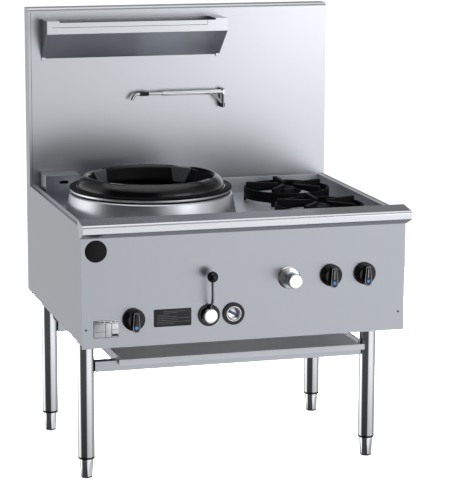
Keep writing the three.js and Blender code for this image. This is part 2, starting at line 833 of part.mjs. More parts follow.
// Pipe from the wok valve: back, down, across and forward to the wok burner's tube.
function wokGasPipe() {
  const top = wokTubeFoot - fit;
  const r = wokPipeRadius;
  const runZ = top - r;
  const runY = valveBack + wokPipeRun;
  const cup = moved(disc(r + wokPipeCup, runZ - r, top, small), wokX, wokY, 0);
  const back = moved(facingFront(disc(r, -wokY, -runY, small)), wokX, 0, runZ);
  const elbow = moved(disc(r + weld, runZ - r, runZ + r, small), wokX, runY, 0);
  const across = moved(alongX(disc(r, wokX, leverX, small)), 0, runY, runZ);
  const riser = moved(disc(r, runZ - r, controlLow, small), leverX, runY, 0);
  const tail = frontDisc(leverX, controlLow, r, valveBack + fit, runY + r, small);
  return join(cup, back, elbow, across, riser, tail);
}

// ---------- open burners ----------
// Bowl with a rim on the pan, on its mixing tube.
function openBurner(y) {
  const seat = panFloor + fit;
  const cup = burnerHoleRadius - burnerCupRoom;
  const rim = burnerHoleRadius + burnerRimWidth;
  const crown = capRadius - 2 * bowlWall;
  return moved(turned([
    [0, burnerTubeBottom], [burnerTubeRadius, burnerTubeBottom],
    [burnerTubeRadius, seat - bowlDepth], [cup - bowlWall, seat - 2 * bowlWall], [cup, seat],
    [rim, seat], [rim, seat + bowlWall / 2], [cup, seat + bowlWall],
    [crown, burnerTop - bowlDepth / 2], [crown + bowlWall, burnerTop], [crown, burnerTop],
    [crown - bowlWall, burnerTop - bowlDepth / 2], [0, burnerTop - bowlDepth / 2],
  ], medium), burnerX, y, 0);
}

function burnerCap(y) {
  const seat = burnerTop + fit;
  const spigot = capRadius - 4 * bowlWall;
  const top = seat + capHeight;
  const dish = capRadius / 4;
  const edge = 2;
  const body = turned([
    [0, seat - capSpigot], [spigot, seat - capSpigot], [spigot, seat], [capRadius, seat],
    [capRadius, seat + edge], [capRadius - capHeight, top], [dish + edge, top], [dish, top - edge],
    [0, top - edge],
  ], medium);
  return moved(body, burnerX, y, 0);
}

// Cast ring with arms that deepen towards their outer ends, and short feet on the pan.
function trivet(y) {
  const bore = trivetRadius - trivetRingWall;
  const armOuter = bore + trivetArmBite;
  const ring = pipe(trivetRadius, bore, trivetRingBottom, trivetRingTop, medium);
  const arm = prismX([
    [trivetArmInner, trivetTop - trivetTipDepth], [bore, trivetRingTop - trivetArmRise],
    [armOuter, trivetTop - trivetArmDepth], [armOuter, trivetTop],
    [trivetArmInner, trivetTop - trivetTipDepth / 4],
  ], -trivetArmWidth / 2, trivetArmWidth / 2);
  const post = block(-trivetPost / 2, trivetPost / 2, bore, trivetRadius,
    panFloor + fit, trivetRingBottom + weld);
  const parts = [ring];
  for (let i = 0; i < trivetArms; i += 1) parts.push(join(arm, post).rotate([0, 0, 360 * i / trivetArms]));
  return moved(join(...parts), burnerX, y, 0);
}

// ---------- gas train ----------
// Pipe behind the front panel with two brackets, and its inlet at the rear right.
function gasManifold() {
  const inletEnd = bodyBack - fit;
  const corner = manifoldRadius + fittingWall;
  const run = moved(alongX(disc(manifoldRadius, -inletX, inletX, small)), 0, manifoldY, manifoldZ);
  const inlet = frontDisc(inletX, manifoldZ, manifoldRadius, manifoldY, inletEnd, small);
  const elbow = moved(disc(corner, manifoldZ - corner, manifoldZ + corner, small), inletX, manifoldY, 0);
  const brackets = [-half / 2, half / 4].map((x) => block(x - bracketWidth / 2, x + bracketWidth / 2,
    sheet + fit, manifoldY, manifoldZ - bracketThickness / 2, manifoldZ + bracketThickness / 2));
  return join(run, inlet, elbow, ...brackets);
}

// Valve body behind the panel, on the manifold, bored for its spindle.
function valve(x, z, width, back) {
  const above = z > manifoldZ;
  const seat = above ? manifoldTop + fit : manifoldZ - manifoldRadius - fit;
  const front = sheet + fit;
  const halfWidth = width / 2;
  const saddleHalf = valveSaddle / 2;
  const body = block(x - halfWidth, x + halfWidth, front + valveNeck, back, z - halfWidth, z + halfWidth);
  const neck = frontDisc(x, z, halfWidth - weld, front, front + valveNeck + weld, small);
  const saddle = block(x - saddleHalf, x + saddleHalf, manifoldY - saddleHalf,
    Math.min(back, manifoldY + saddleHalf), above ? seat : z, above ? z : seat);
  const bore = frontDisc(x, z, around(spindleRadius, tiny), -reach, spindleDepth + knobStandOff + fit, tiny);
  return cut(join(body, neck, saddle), bore);
}

function spindle(x, z) {
  return frontDisc(x, z, spindleRadius, -spindleReach, spindleDepth, tiny);
}

// Skirt, boss and a grip bar that is narrow at the top and pointed at the foot.
function knob(x, z) {
  const back = knobStandOff;
  const skirtTop = back + knobSkirt;
  const skirt = turned([
    [0, back], [knobRadius, back], [knobRadius, skirtTop - weld], [knobRadius - knobSkirt / 2, skirtTop],
    [knobBossRadius, skirtTop + weld], [knobBossRadius, skirtTop + knobBossHeight],
    [0, skirtTop + knobBossHeight],
  ], medium);
  const tip = knobGripFoot / 4;
  const widest = -knobGripDown * 0.6;
  const grip = new THREE.Shape([
    [-knobGripTop / 2, knobGripUp], [-knobGripFoot / 2, widest], [-tip, -knobGripDown],
    [tip, -knobGripDown], [knobGripFoot / 2, widest], [knobGripTop / 2, knobGripUp],
  ].map(([u, v]) => new THREE.Vector2(u, v)));
  const bar = new THREE.ExtrudeGeometry(grip, { depth: knobReach - skirtTop, bevelEnabled: false });
  bar.translate(0, 0, skirtTop);
  const bore = disc(around(spindleRadius, tiny), back - reach, spindleReach + fit, tiny);
  return moved(facingFront(cut(join(skirt, solid(bar)), bore)), x, 0, z);
}

function leverBezel() {
  const plate = frontPipe(leverX, controlLow, bezelRadius, around(hubRadius, medium),
    -fit - bezelThickness, -fit, medium);
  const slot = block(leverX - leverSlot / 2, leverX + leverSlot / 2, -reach - fit, reach,
    controlLow + hubRadius - weld, controlLow + bezelRadius - bezelThickness);
  return cut(plate, slot);
}

// Middle line of the lever's rod, from the hub's rim forward and up to the ball.
function leverPath() {
  const rootY = leverRootReach - hubReach;
  const rise = ballRise - hubRadius;
  return [
    [rootY, hubRadius - weld], [rootY - rodRadius, hubRadius + rise / 10],
    [ballY, hubRadius + rise / 3], [ballY, ballRise - ballRadius * socketShare],
  ].map(([y, z]) => new THREE.Vector3(leverX, y, controlLow + z));
}

function roundSection(radius) {
  const section = new THREE.Shape();
  section.absarc(0, 0, radius, 0, 2 * Math.PI, false);
  return section;
}

function wokLever() {
  const hub = frontDisc(leverX, controlLow, hubRadius, -hubReach, -fit - weld, medium);
  const stem = frontDisc(leverX, controlLow, spindleRadius, weld - hubReach, spindleDepth, tiny);
  const rod = new THREE.ExtrudeGeometry(roundSection(rodRadius), {
    steps: 14, curveSegments: 6, bevelEnabled: false,
    extrudePath: new THREE.CatmullRomCurve3(leverPath(), false, 'centripetal'),
  });
  return join(hub, stem, solid(rod));
}

function wokLeverBall() {
  const sphere = new THREE.SphereGeometry(ballRadius, small, small / 2);
  sphere.rotateX(Math.PI / 2);
  sphere.translate(leverX, ballY, ballZ);
  const socket = moved(disc(around(rodRadius, tiny), ballZ - ballRadius - reach,
    ballZ - ballRadius * socketShare + fit, tiny), leverX, ballY, 0);
  return cut(solid(sphere), socket);
}

// Bezel, viewing tube to the chamber, and the glass that closes the tube.
function sightPort() {
  const bezel = frontPipe(sightX, controlLow, sightRadius, sightBore - sightTubeWall - weld,
    -fit - sightReach, -fit, medium);
  const tube = frontPipe(sightX, controlLow, sightBore, sightBore - sightTubeWall, -fit - weld,
    sightTubeLength, medium);
  const glass = frontDisc(sightX, controlLow, sightBore - weld, sightGlassDepth,
    sightGlassDepth + sightTubeWall, medium);
  return join(bezel, tube, glass);
}

// ---------- water ----------
function waterValve() {
  const front = sheet + fit;
  const halfWidth = waterValveWidth / 2;
  const bodyFront = front + valveNeck;
  const bodyBackY = bodyFront + waterValveWidth;
  const body = block(tapX - halfWidth, tapX + halfWidth, bodyFront, bodyBackY,
    controlHigh - halfWidth, controlHigh + halfWidth);
  const nut = frontDisc(tapX, controlHigh, tapNeckRadius + fittingWall, front, bodyFront + weld, nutFlats);
  const neck = frontDisc(tapX, controlHigh, tapNeckRadius, -tapFlangeThickness - fit - weld,
    bodyFront + weld, small);
  const outlet = moved(disc(waterPipeRadius, controlHigh + halfWidth - weld,
    controlHigh + halfWidth + waterPipeLength, small), tapX, (bodyFront + bodyBackY) / 2, 0);
  const bore = frontDisc(tapX, controlHigh, around(spindleRadius, tiny), -tapReach,
    spindleDepth + fit, tiny);
  return cut(join(body, nut, neck, outlet), bore);
}

function tapFlange() {
  const bore = around(tapNeckRadius, medium);
  const rim = fit + tapFlangeThickness / 2;
  const body = turned([
    [bore, fit], [tapFlangeRadius, fit], [tapFlangeRadius, rim],
    [tapFlangeRadius - tapFlangeThickness, fit + tapFlangeThickness], [bore + fittingWall, tapSeat - fit],
    [bore, tapSeat - fit], [bore, fit],
  ], medium);
  return moved(facingFront(body), tapX, 0, controlHigh);
}

// Round handle on a narrower foot.
function waterTapKnob() {
  const gripFoot = tapSeat + tapWaist;
  const body = turned([
    [0, tapSeat], [tapNeckRadius + fittingWall, tapSeat], [tapNeckRadius + weld, gripFoot - fittingWall],
    [tapKnobRadius - weld, gripFoot], [tapKnobRadius, gripFoot + fittingWall],
    [tapKnobRadius, tapReach - weld], [tapKnobRadius - weld, tapReach], [0, tapReach],
  ], medium);
  const stem = disc(spindleRadius, -spindleDepth, tapSeat + weld, tiny);
  return moved(facingFront(join(body, stem)), tapX, 0, controlHigh);
}

// Wall plate with two lugs and the pin that the spout swings on.
function spoutBracket() {
  const wall = splashFront - fit;
  const x0 = spoutX - spoutPlateWidth / 2;
  const x1 = spoutX + spoutPlateWidth / 2;
  const plate = block(x0, x1, wall - spoutPlateThickness, wall, spoutPlateFoot, spoutPlateTop);
  const lugs = [spoutPlateFoot, spoutPlateTop - spoutLug].map((z) => (
    join(block(x0, x1, spoutY, wall - weld, z, z + spoutLug),
      moved(disc(spoutPlateWidth / 2, z, z + spoutLug, small), spoutX, spoutY, 0))));
  const pin = moved(disc(spoutPinRadius, spoutPlateFoot + weld, spoutPlateTop - weld, small),
    spoutX, spoutY, 0);
  return join(plate, ...lugs, pin);
}

// Tube on two eyes, with a sloping brace between the lower eye and the tube.
function spoutArm() {
  const run = around(spoutPinRadius, small);
  const eyeRadius = run + eyeWall;
  const eyeFoot = spoutPlateFoot + spoutLug + fit;
  const eyeTop = spoutPlateTop - spoutLug - fit;
  const tubeFoot = spoutZ - armRadius;
  const upper = moved(disc(eyeRadius, tubeFoot, eyeTop, small), spoutX, spoutY, 0);
  const lower = moved(disc(eyeRadius, eyeFoot, eyeFoot + braceWidth, small), spoutX, spoutY, 0);
  const tube = moved(alongX(pipe(armRadius, around(tubeRadius, small), armEndX, spoutX, small)),
    0, spoutY, spoutZ);
  const brace = new THREE.Shape([
    [0, eyeFoot + weld], [0, eyeFoot + braceWidth - weld],
    [braceWidth / 2 - braceReach, tubeFoot + weld], [-braceWidth / 2 - braceReach, tubeFoot + weld],
  ].map(([x, z]) => new THREE.Vector2(x, z)));
  const slab = new THREE.ExtrudeGeometry(brace, { depth: braceThickness, bevelEnabled: false });
  slab.rotateX(Math.PI / 2);
  slab.translate(spoutX, spoutY + braceThickness / 2, 0);
  const pinHole = moved(disc(run, spoutPlateFoot, spoutPlateTop, small), spoutX, spoutY, 0);
  return cut(join(upper, lower, tube, solid(slab)), pinHole);
}

// Inner tube that turns in the arm, a sleeve, and the bent outlet.
function spoutNozzle() {
  const stub = alongX(pipe(tubeRadius, tubeRadius - tubeWall, sleeveStartX - weld,
    armEndX + stubInside, small));
  const sleeve = alongX(disc(sleeveRadius, sleeveEndX, sleeveStartX, small));
  const bend = new THREE.CatmullRomCurve3([
    [sleeveEndX + weld, 0], [sleeveEndX - nozzleLength / 2, -weld],
    [nozzleEndX + nozzleLength / 6, -nozzleDrop / 2], [nozzleEndX, -nozzleDrop],
  ].map(([x, z]) => new THREE.Vector3(x, 0, z)));
  const elbow = new THREE.ExtrudeGeometry(roundSection(tubeRadius), {
    steps: 10, curveSegments: 8, bevelEnabled: false, extrudePath: bend,
  });
  return moved(join(stub, sleeve, solid(elbow)), 0, spoutY, spoutZ);
}

// ---------- assembly ----------
const legPlaces = [
  ['front_left', -legX, legFrontY], ['front_right', legX, legFrontY],
  ['rear_left', -legX, legRearY], ['rear_right', legX, legRearY],
];

function buildCabinet() {
  piece('front_panel', frontPanel(), satin());
  piece('front_rail', frontRail(), satin());
  piece('left_side_panel', sidePanel(-1), satin());
  piece('right_side_panel', sidePanel(1), satin());
  piece('rear_panel', rearPanel(), galvanised());
  piece('hob_pan', hobPan(), satin());
  piece('drain_cover_box', drainCoverBox(), satin());
  piece('splashback', splashback(), satin());
  piece('condiment_shelf', condimentShelf(), satin());
}

function buildBase() {
  piece('frame_rail_left', frameRail(-1), galvanised());
  piece('frame_rail_right', frameRail(1), galvanised());
  for (const [place, x, y] of legPlaces) {
    piece(`leg_${place}`, moved(leg(), x, y, 0), polished());
    piece(`leg_collar_${place}`, moved(legCollar(), x, y, 0), blackPlastic());
    piece(`foot_${place}`, moved(foot(), x, y, 0), polished());
  }
  piece('cross_rail_front', crossRail(legFrontY), satin());
  piece('cross_rail_rear', crossRail(legRearY), satin());
  piece('tray_runner_left', trayRunner(-1), satin());
  piece('tray_runner_right', trayRunner(1), satin());
  piece('drip_tray', dripTray(), satin());
}

function buildHob() {
  piece('wok_collar', wokCollar(), polished());
  piece('wok_ring', wokRing(), enamel());
  piece('wok_chamber', wokChamber(), galvanised());
  piece('wok_burner', wokBurner(), castIron());
  piece('wok_gas_pipe', wokGasPipe(), galvanised());
  for (const [place, y] of Object.entries(trivetY)) {
    piece(`burner_${place}`, openBurner(y), castIron());
    piece(`burner_cap_${place}`, burnerCap(y), castIron());
    piece(`trivet_${place}`, trivet(y), castIron());
  }
}

function buildControls() {
  piece('gas_manifold', gasManifold(), galvanised());
  const valves = [
    ['pilot', pilotX, controlLow], ['front_burner', frontKnobX, controlHigh],
    ['rear_burner', rearKnobX, controlHigh],
  ];
  for (const [use, x, z] of valves) {
    piece(`${use}_valve`, valve(x, z, valveWidth, valveBack), brass());
    piece(`${use}_spindle`, spindle(x, z), brass());
    piece(`${use}_knob`, knob(x, z), blackPlastic());
  }
  piece('wok_valve', valve(leverX, controlLow, wokValveWidth, valveBack), brass());
  piece('lever_bezel', leverBezel(), blackPlastic());
  piece('wok_lever', wokLever(), chrome());
  piece('wok_lever_ball', wokLeverBall(), blackPlastic());
  piece('sight_port', sightPort(), blackPlastic());
}

function buildWater() {
  piece('water_valve', waterValve(), brass());
  piece('tap_flange', tapFlange(), chrome());
  piece('water_tap_knob', waterTapKnob(), chrome());
  piece('spout_bracket', spoutBracket(), chrome());
  piece('spout_arm', spoutArm(), chrome());
  piece('spout_nozzle', spoutNozzle(), chrome());
}

buildCabinet();
buildBase();
buildHob();
buildControls();
buildWater();

// The origin is the middle of the footprint at floor level.
group.position.y = (tapReach - bodyBack) / 2;

export default group;
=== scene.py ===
"""Looks of the wok range: finishes, rounded sheet edges, turned and moulded pieces, small
trims, the studio and the photograph's camera.

The scene is in metres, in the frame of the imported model. Profiles, outlines and the sizes
that go into them are in millimetres."""
import json
import math

import bmesh
import bpy
from mathutils import Matrix, Vector

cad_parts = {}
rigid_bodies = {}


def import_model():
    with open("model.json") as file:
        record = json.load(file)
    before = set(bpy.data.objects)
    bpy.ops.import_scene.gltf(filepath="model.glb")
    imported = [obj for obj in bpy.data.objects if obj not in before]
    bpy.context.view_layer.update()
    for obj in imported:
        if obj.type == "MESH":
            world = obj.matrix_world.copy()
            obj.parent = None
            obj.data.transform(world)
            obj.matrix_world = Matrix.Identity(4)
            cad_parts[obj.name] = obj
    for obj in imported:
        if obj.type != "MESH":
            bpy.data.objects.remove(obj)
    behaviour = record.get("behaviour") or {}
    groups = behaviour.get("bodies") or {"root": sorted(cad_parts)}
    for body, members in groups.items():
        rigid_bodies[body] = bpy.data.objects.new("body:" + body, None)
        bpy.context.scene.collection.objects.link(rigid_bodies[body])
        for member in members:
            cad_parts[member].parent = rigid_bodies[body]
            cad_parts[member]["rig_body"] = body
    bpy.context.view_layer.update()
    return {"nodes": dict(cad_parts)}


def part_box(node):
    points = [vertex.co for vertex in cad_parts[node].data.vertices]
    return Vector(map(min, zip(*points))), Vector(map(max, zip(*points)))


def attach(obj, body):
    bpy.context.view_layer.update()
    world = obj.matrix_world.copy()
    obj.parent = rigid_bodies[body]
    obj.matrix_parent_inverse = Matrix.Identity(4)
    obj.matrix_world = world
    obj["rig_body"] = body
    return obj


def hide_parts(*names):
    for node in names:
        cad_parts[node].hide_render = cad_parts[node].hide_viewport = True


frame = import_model()

MM = 0.001
SEAT = 0.3                       # gap between pieces that rest on each other
WELD = 1                         # how far the parts of one piece reach into each other
AXIS = 0.01                      # radius of a turned profile's end on its axis
ROUND = 96                       # segments of large turned pieces
SMALL_ROUND = 48
CREASE = 35                      # degrees past which an edge is drawn sharp
MERGE = 1e-6                     # points closer than this become one, in metres
PANEL_FACE = round(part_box("front_panel")[0].y, 6)            # y of the front panel, in metres
UPRIGHT = Matrix.Identity(3)
FACING_FRONT = Matrix(((1, 0, 0), (0, 0, -1), (0, 1, 0)))    # local +Z points out of the panel


# ---------- materials ----------
NOISE_LOW, NOISE_HIGH = 0.3, 0.7         # most values of a noise lie between these
GRAIN_ALONG, GRAIN_ACROSS = 18, 1300     # brush marks per metre, along and across the grain
CLOUDS = 2.2                             # clouds in brushed sheet, per metre
SPANGLES = 70                            # zinc crystals per metre


def add(tree, kind, inputs=None, **settings):
    """A shader node whose inputs are numbers, colours or other nodes' outputs."""
    node = tree.nodes.new("ShaderNode" + kind)
    for name, value in settings.items():
        setattr(node, name, value)
    for name, value in (inputs or {}).items():
        if isinstance(value, bpy.types.NodeSocket):
            tree.links.new(value, node.inputs[name])
        else:
            node.inputs[name].default_value = value
    return node


def blank_material(name):
    """A new material, its node tree and its main shader."""
    material = bpy.data.materials.new(name)
    material.use_nodes = True
    tree = material.node_tree
    return material, tree, tree.nodes["Principled BSDF"]


def noise(tree, scale, detail=2.0, stretch=(1, 1, 1)):
    """Noise fixed to the object. The scale is in patches per metre."""
    place = add(tree, "TexCoord").outputs["Object"]
    spread = add(tree, "Mapping", {"Vector": place, "Scale": stretch})
    return add(tree, "TexNoise", {"Vector": spread.outputs["Vector"], "Scale": scale,
                                  "Detail": detail}).outputs["Fac"]


def ranged(tree, value, low, high):
    """A noise spread over the numbers from low to high."""
    return add(tree, "MapRange", {"Value": value, "From Min": NOISE_LOW, "From Max": NOISE_HIGH,
                                  "To Min": low, "To Max": high}).outputs["Result"]


def tinted(tree, value, dark, light):
    """A noise spread over the colours from dark to light."""
    ramp = add(tree, "ValToRGB", {"Fac": value})
    stops = ramp.color_ramp.elements
    stops[0].position, stops[1].position = NOISE_LOW, NOISE_HIGH
    stops[0].color, stops[1].color = (*dark, 1), (*light, 1)
    return ramp.outputs["Color"]


def bumped(tree, shader, height, strength, distance):
    """Relief in the shader's normal. The distance is in metres."""
    bump = add(tree, "Bump", {"Height": height, "Strength": strength, "Distance": distance})
    tree.links.new(bump.outputs["Normal"], shader.inputs["Normal"])


def shaded(color, spread):
    """The colour a share darker, and a share lighter."""
    return [c * (1 - spread) for c in color], [min(1, c * (1 + spread)) for c in color]


def brushed_steel(name, color, grain, roughness, spread, metallic=1.0, drawn=0.0):
    """Sheet with a fine grain along one axis and faint clouding. The spread is of its colour, and
    drawn says how far the grain stretches its highlights."""
    material, tree, shader = blank_material(name)
    lines = noise(tree, 1.0, 3.0, [GRAIN_ALONG if axis == grain else GRAIN_ACROSS for axis in "XYZ"])
    clouds = noise(tree, CLOUDS, 3.0)
    both = add(tree, "Math", {0: lines, 1: clouds}, operation="ADD").outputs[0]
    mean = add(tree, "Math", {0: both, 1: 0.5}, operation="MULTIPLY").outputs[0]
    tree.links.new(tinted(tree, mean, *shaded(color, spread)), shader.inputs["Base Color"])
    tree.links.new(ranged(tree, mean, *roughness), shader.inputs["Roughness"])
    shader.inputs["Metallic"].default_value = metallic
    shader.inputs["Anisotropic"].default_value = drawn
    bumped(tree, shader, lines, strength=0.01, distance=0.00002)
    return material


def plain_metal(name, color, roughness, speckle, spread=0.04, uneven=0.3):
    """Turned, plated or polished metal with fine wear in its gloss."""
    material, tree, shader = blank_material(name)
    wear = noise(tree, speckle, 4.0)
    gloss = ranged(tree, wear, roughness * (1 - uneven), roughness * (1 + uneven))
    tree.links.new(tinted(tree, wear, *shaded(color, spread)), shader.inputs["Base Color"])
    tree.links.new(gloss, shader.inputs["Roughness"])
    shader.inputs["Metallic"].default_value = 1.0
    bumped(tree, shader, wear, strength=0.01, distance=0.0001)
    return material


def galvanised():
    """Zinc coat with the crystals that hot dipping leaves."""
    material, tree, shader = blank_material("galvanised_steel")
    place = add(tree, "TexCoord").outputs["Object"]
    cells = add(tree, "TexVoronoi", {"Vector": place, "Scale": SPANGLES}).outputs["Color"]
    value = add(tree, "RGBToBW", {"Color": cells}).outputs["Val"]
    tree.links.new(tinted(tree, value, (0.36, 0.37, 0.39), (0.47, 0.48, 0.50)),
                   shader.inputs["Base Color"])
    tree.links.new(ranged(tree, value, 0.38, 0.55), shader.inputs["Roughness"])
    shader.inputs["Metallic"].default_value = 1.0
    bumped(tree, shader, noise(tree, 300), strength=0.1, distance=0.0001)
    return material


def cast_iron():
    """Rough black casting, a little lighter on its edges."""
    material, tree, shader = blank_material("cast_iron")
    grit = noise(tree, 650, 6.0)
    patches = noise(tree, 18, 3.0)
    edges = add(tree, "NewGeometry").outputs["Pointiness"]
    worn = add(tree, "MapRange", {"Value": edges, "From Min": 0.53, "From Max": 0.62}).outputs["Result"]
    base = tinted(tree, patches, (0.003, 0.003, 0.0034), (0.006, 0.006, 0.0068))
    color = add(tree, "MixRGB", {"Fac": worn, "Color1": base, "Color2": (0.012, 0.012, 0.0135, 1)})
    tree.links.new(color.outputs["Color"], shader.inputs["Base Color"])
    tree.links.new(ranged(tree, grit, 0.45, 0.65), shader.inputs["Roughness"])
    shader.inputs["Specular IOR Level"].default_value = 0.06
    bumped(tree, shader, grit, strength=0.3, distance=0.0004)
    return material


def coated(name, color, roughness, texture, bump, gloss=0.5):
    """Enamel, lacquer or moulded plastic: colour, gloss and surface texture."""
    material, tree, shader = blank_material(name)
    fine = noise(tree, texture, 3.0)
    broad = noise(tree, 9, 2.0)
    tree.links.new(tinted(tree, broad, *shaded(color, 0.12)), shader.inputs["Base Color"])
    tree.links.new(ranged(tree, broad, roughness * 0.8, roughness * 1.25), shader.inputs["Roughness"])
    shader.inputs["Specular IOR Level"].default_value = gloss
    bumped(tree, shader, fine, strength=bump, distance=0.0002)
    return material


# The same brushed stainless in lighter and darker copies: each part's base colour is set for how the room
# lights it, which is painted light and shade. The grain and the clouding are the sheet's own.
panel_steel = brushed_steel("panel_steel", (0.42, 0.437, 0.478), "Z", (0.28, 0.33), 0.02, drawn=0.7)
rail_steel = brushed_steel("rail_steel", (0.60, 0.615, 0.65), "X", (0.24, 0.28), 0.01)
side_steel = brushed_steel("side_steel", (0.445, 0.462, 0.505), "Z", (0.3, 0.33), 0.012)
splash_steel = brushed_steel("splash_steel", (0.51, 0.522, 0.56), "Z", (0.29, 0.3), 0.006)
shelf_steel = brushed_steel("shelf_steel", (0.54, 0.555, 0.585), "Z", (0.24, 0.28), 0.012)
pan_steel = brushed_steel("pan_steel", (0.62, 0.635, 0.67), "X", (0.36, 0.44), 0.02, metallic=0.75)
tray_steel = brushed_steel("tray_steel", (0.68, 0.69, 0.72), "X", (0.4, 0.5), 0.03, metallic=0.25)
polished_steel = plain_metal("polished_steel", (0.62, 0.63, 0.66), 0.1, 900)
# The collar's steel is set lighter as well, which is painted light.
collar_steel = plain_metal("collar_steel", (0.66, 0.675, 0.71), 0.33, 300, spread=0.012, uneven=0.04)
chrome = plain_metal("chrome", (0.80, 0.81, 0.83), 0.05, 240, spread=0.02)
soft_chrome = plain_metal("soft_chrome", (0.80, 0.81, 0.83), 0.2, 240, spread=0.02)
# Chrome painted darker: painted shade and dark reflection on the spout's bracket and brace and on the
# lever's rod. The screws' heads use it too.
chrome_painted_dark = plain_metal("chrome_painted_dark", (0.2, 0.205, 0.22), 0.16, 240)
brass = plain_metal("brass", (0.60, 0.44, 0.20), 0.28, 300, spread=0.1)
foil = plain_metal("plate_foil", (0.62, 0.63, 0.65), 0.3, 500)
zinc = galvanised()
iron = cast_iron()
# Matte black: painted shade inside the ring's bore and the wok chamber, and the ring's own black, made
# matte, outside its crown.
matte_black_shade = coated("matte_black_and_painted_shade", (0.003, 0.003, 0.003), 0.6, 60, bump=0.25, gloss=0.12)
enamel = coated("black_enamel", (0.002, 0.002, 0.0025), 0.14, 55, bump=0.01, gloss=0.44)
# The pads' enamel is a lighter grey than the ring's.
pad_enamel = coated("grey_pad_enamel", (0.05, 0.051, 0.056), 0.3, 300, bump=0.1, gloss=0.4)
plastic = coated("black_plastic", (0.002, 0.002, 0.0025), 0.16, 900, bump=0.04, gloss=0.4)
rubber = coated("sole_rubber", (0.01, 0.01, 0.01), 0.6, 600, bump=0.1, gloss=0.2)
badge_lacquer = coated("badge_lacquer", (0.005, 0.005, 0.0055), 0.3, 400, bump=0.05, gloss=0.15)
plate_black = coated("plate_black", (0.02, 0.02, 0.023), 0.4, 700, bump=0.06, gloss=0.3)
dark_ink = coated("plate_ink", (0.03, 0.03, 0.034), 0.5, 900, bump=0.05, gloss=0.2)
dim_ink = coated("dim_ink", (0.17, 0.17, 0.18), 0.5, 900, bump=0.05, gloss=0.2)
# Pale paint: print on the knobs' pointers, and the band round each grip, which is a painted highlight of
# the grip's edge.
pale_print_and_highlight = coated("pale_print_and_highlight", (0.45, 0.46, 0.48), 0.4, 900, bump=0.05)
# Dark paint for the shade in seams and in the collar's groove.
seam_shade = coated("seam_shade", (0.02, 0.02, 0.022), 0.6, 900, bump=0.05, gloss=0.2)
blue_inlay = coated("blue_inlay", (0.09, 0.29, 0.58), 0.2, 500, bump=0.03)
teal_ring = coated("teal_ring", (0.01, 0.055, 0.11), 0.2, 500, bump=0.03)
blue_glass = coated("sight_glass_bar", (0.03, 0.08, 0.22), 0.15, 500, bump=0.03)


# ---------- places and sizes from the frame ----------
def middle(node):
    """The centre of a node's box, in metres."""
    low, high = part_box(node)
    return (low + high) / 2


def centre_line(node):
    """The foot, on the floor, of a node's upright centre line. In metres."""
    at = middle(node)
    return (at.x, at.y, 0)


def on_panel(node):
    """The point on the front panel's face at a node's centre. In metres."""
    at = middle(node)
    return (at.x, PANEL_FACE, at.z)


def heights(node):
    """A node's lowest and highest point, in millimetres."""
    return [round(corner.z / MM, 3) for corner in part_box(node)]


def reach(node):
    """A round node's largest radius, in millimetres."""
    low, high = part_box(node)
    return round((high.x - low.x) / 2 / MM, 3)


# ---------- outlines and profiles ----------
def rounded(points, radius, steps=4, loop=False):
    """The outline with each corner replaced by a short curve."""
    most = 0.45                  # of a side, that one corner may take
    result = []
    count = len(points)
    for i, point in enumerate(points):
        if not loop and i in (0, count - 1):
            result.append(tuple(point))
            continue
        corner = Vector(point)
        before = Vector(points[i - 1]) - corner
        after = Vector(points[(i + 1) % count]) - corner
        size = min(radius, before.length * most, after.length * most)
        start = corner + before.normalized() * size
        end = corner + after.normalized() * size
        for k in range(steps + 1):
            t = k / steps
            result.append(tuple(start * (1 - t) ** 2 + corner * 2 * t * (1 - t) + end * t ** 2))
    return result


def circle(radius):
    angles = [2 * math.pi * k / SMALL_ROUND for k in range(SMALL_ROUND)]
    return [(radius * math.cos(angle), radius * math.sin(angle)) for angle in angles]


def rectangle(width, height, corner=0.0):
    """A rectangle about the origin, with round corners where a corner radius is given."""
    w, h = width / 2, height / 2
    corners = [(-w, -h), (w, -h), (w, h), (-w, h)]
    return rounded(corners, corner, 5, loop=True) if corner else corners


def shifted(outline, dx, dy):
    return [(x + dx, y + dy) for x, y in outline]


def smooth_path(points):
    """Catmull-Rom curve through the points."""
    steps = 12
    ends = [Vector(p) for p in (points[0], *points, points[-1])]
    path = []
    for a, b, c, d in zip(ends, ends[1:], ends[2:], ends[3:]):
        for k in range(steps):
            t = k / steps
            path.append(0.5 * (2 * b + (c - a) * t + (2 * a - 5 * b + 4 * c - d) * t * t
                               + (3 * b - a - 3 * c + d) * t ** 3))
    return [*path, ends[-1]]


# ---------- parts: (points in metres, faces) ----------
def skin(rows, count, loop=False):
    """Faces over rows of points, each of the same count. The first and last row are joined to
    each other in a loop, and closed with a face otherwise."""
    faces = []
    for row in range(rows if loop else rows - 1):
        here, there = row * count, (row + 1) % rows * count
        for j in range(count):
            nxt = (j + 1) % count
            faces.append([here + j, here + nxt, there + nxt, there + j])
    if not loop:
        faces += [list(range(count)), [(rows - 1) * count + j for j in range(count)]]
    return faces


def turned(profile, segments=ROUND, loop=False):
    """A lathed part from (radius, height) points, capped where the profile is open."""
    points, faces = [], []
    rows = len(profile)
    for k in range(segments):
        angle = 2 * math.pi * k / segments
        for r, z in profile:
            points.append((r * MM * math.cos(angle), r * MM * math.sin(angle), z * MM))
    for k in range(segments):
        here, there = k * rows, (k + 1) % segments * rows
        for j in range(rows if loop else rows - 1):
            nxt = (j + 1) % rows
            faces.append([here + j, there + j, there + nxt, here + nxt])
    if not loop:
        for j in (0, rows - 1):
            faces.append([k * rows + j for k in range(segments)])
    return points, faces


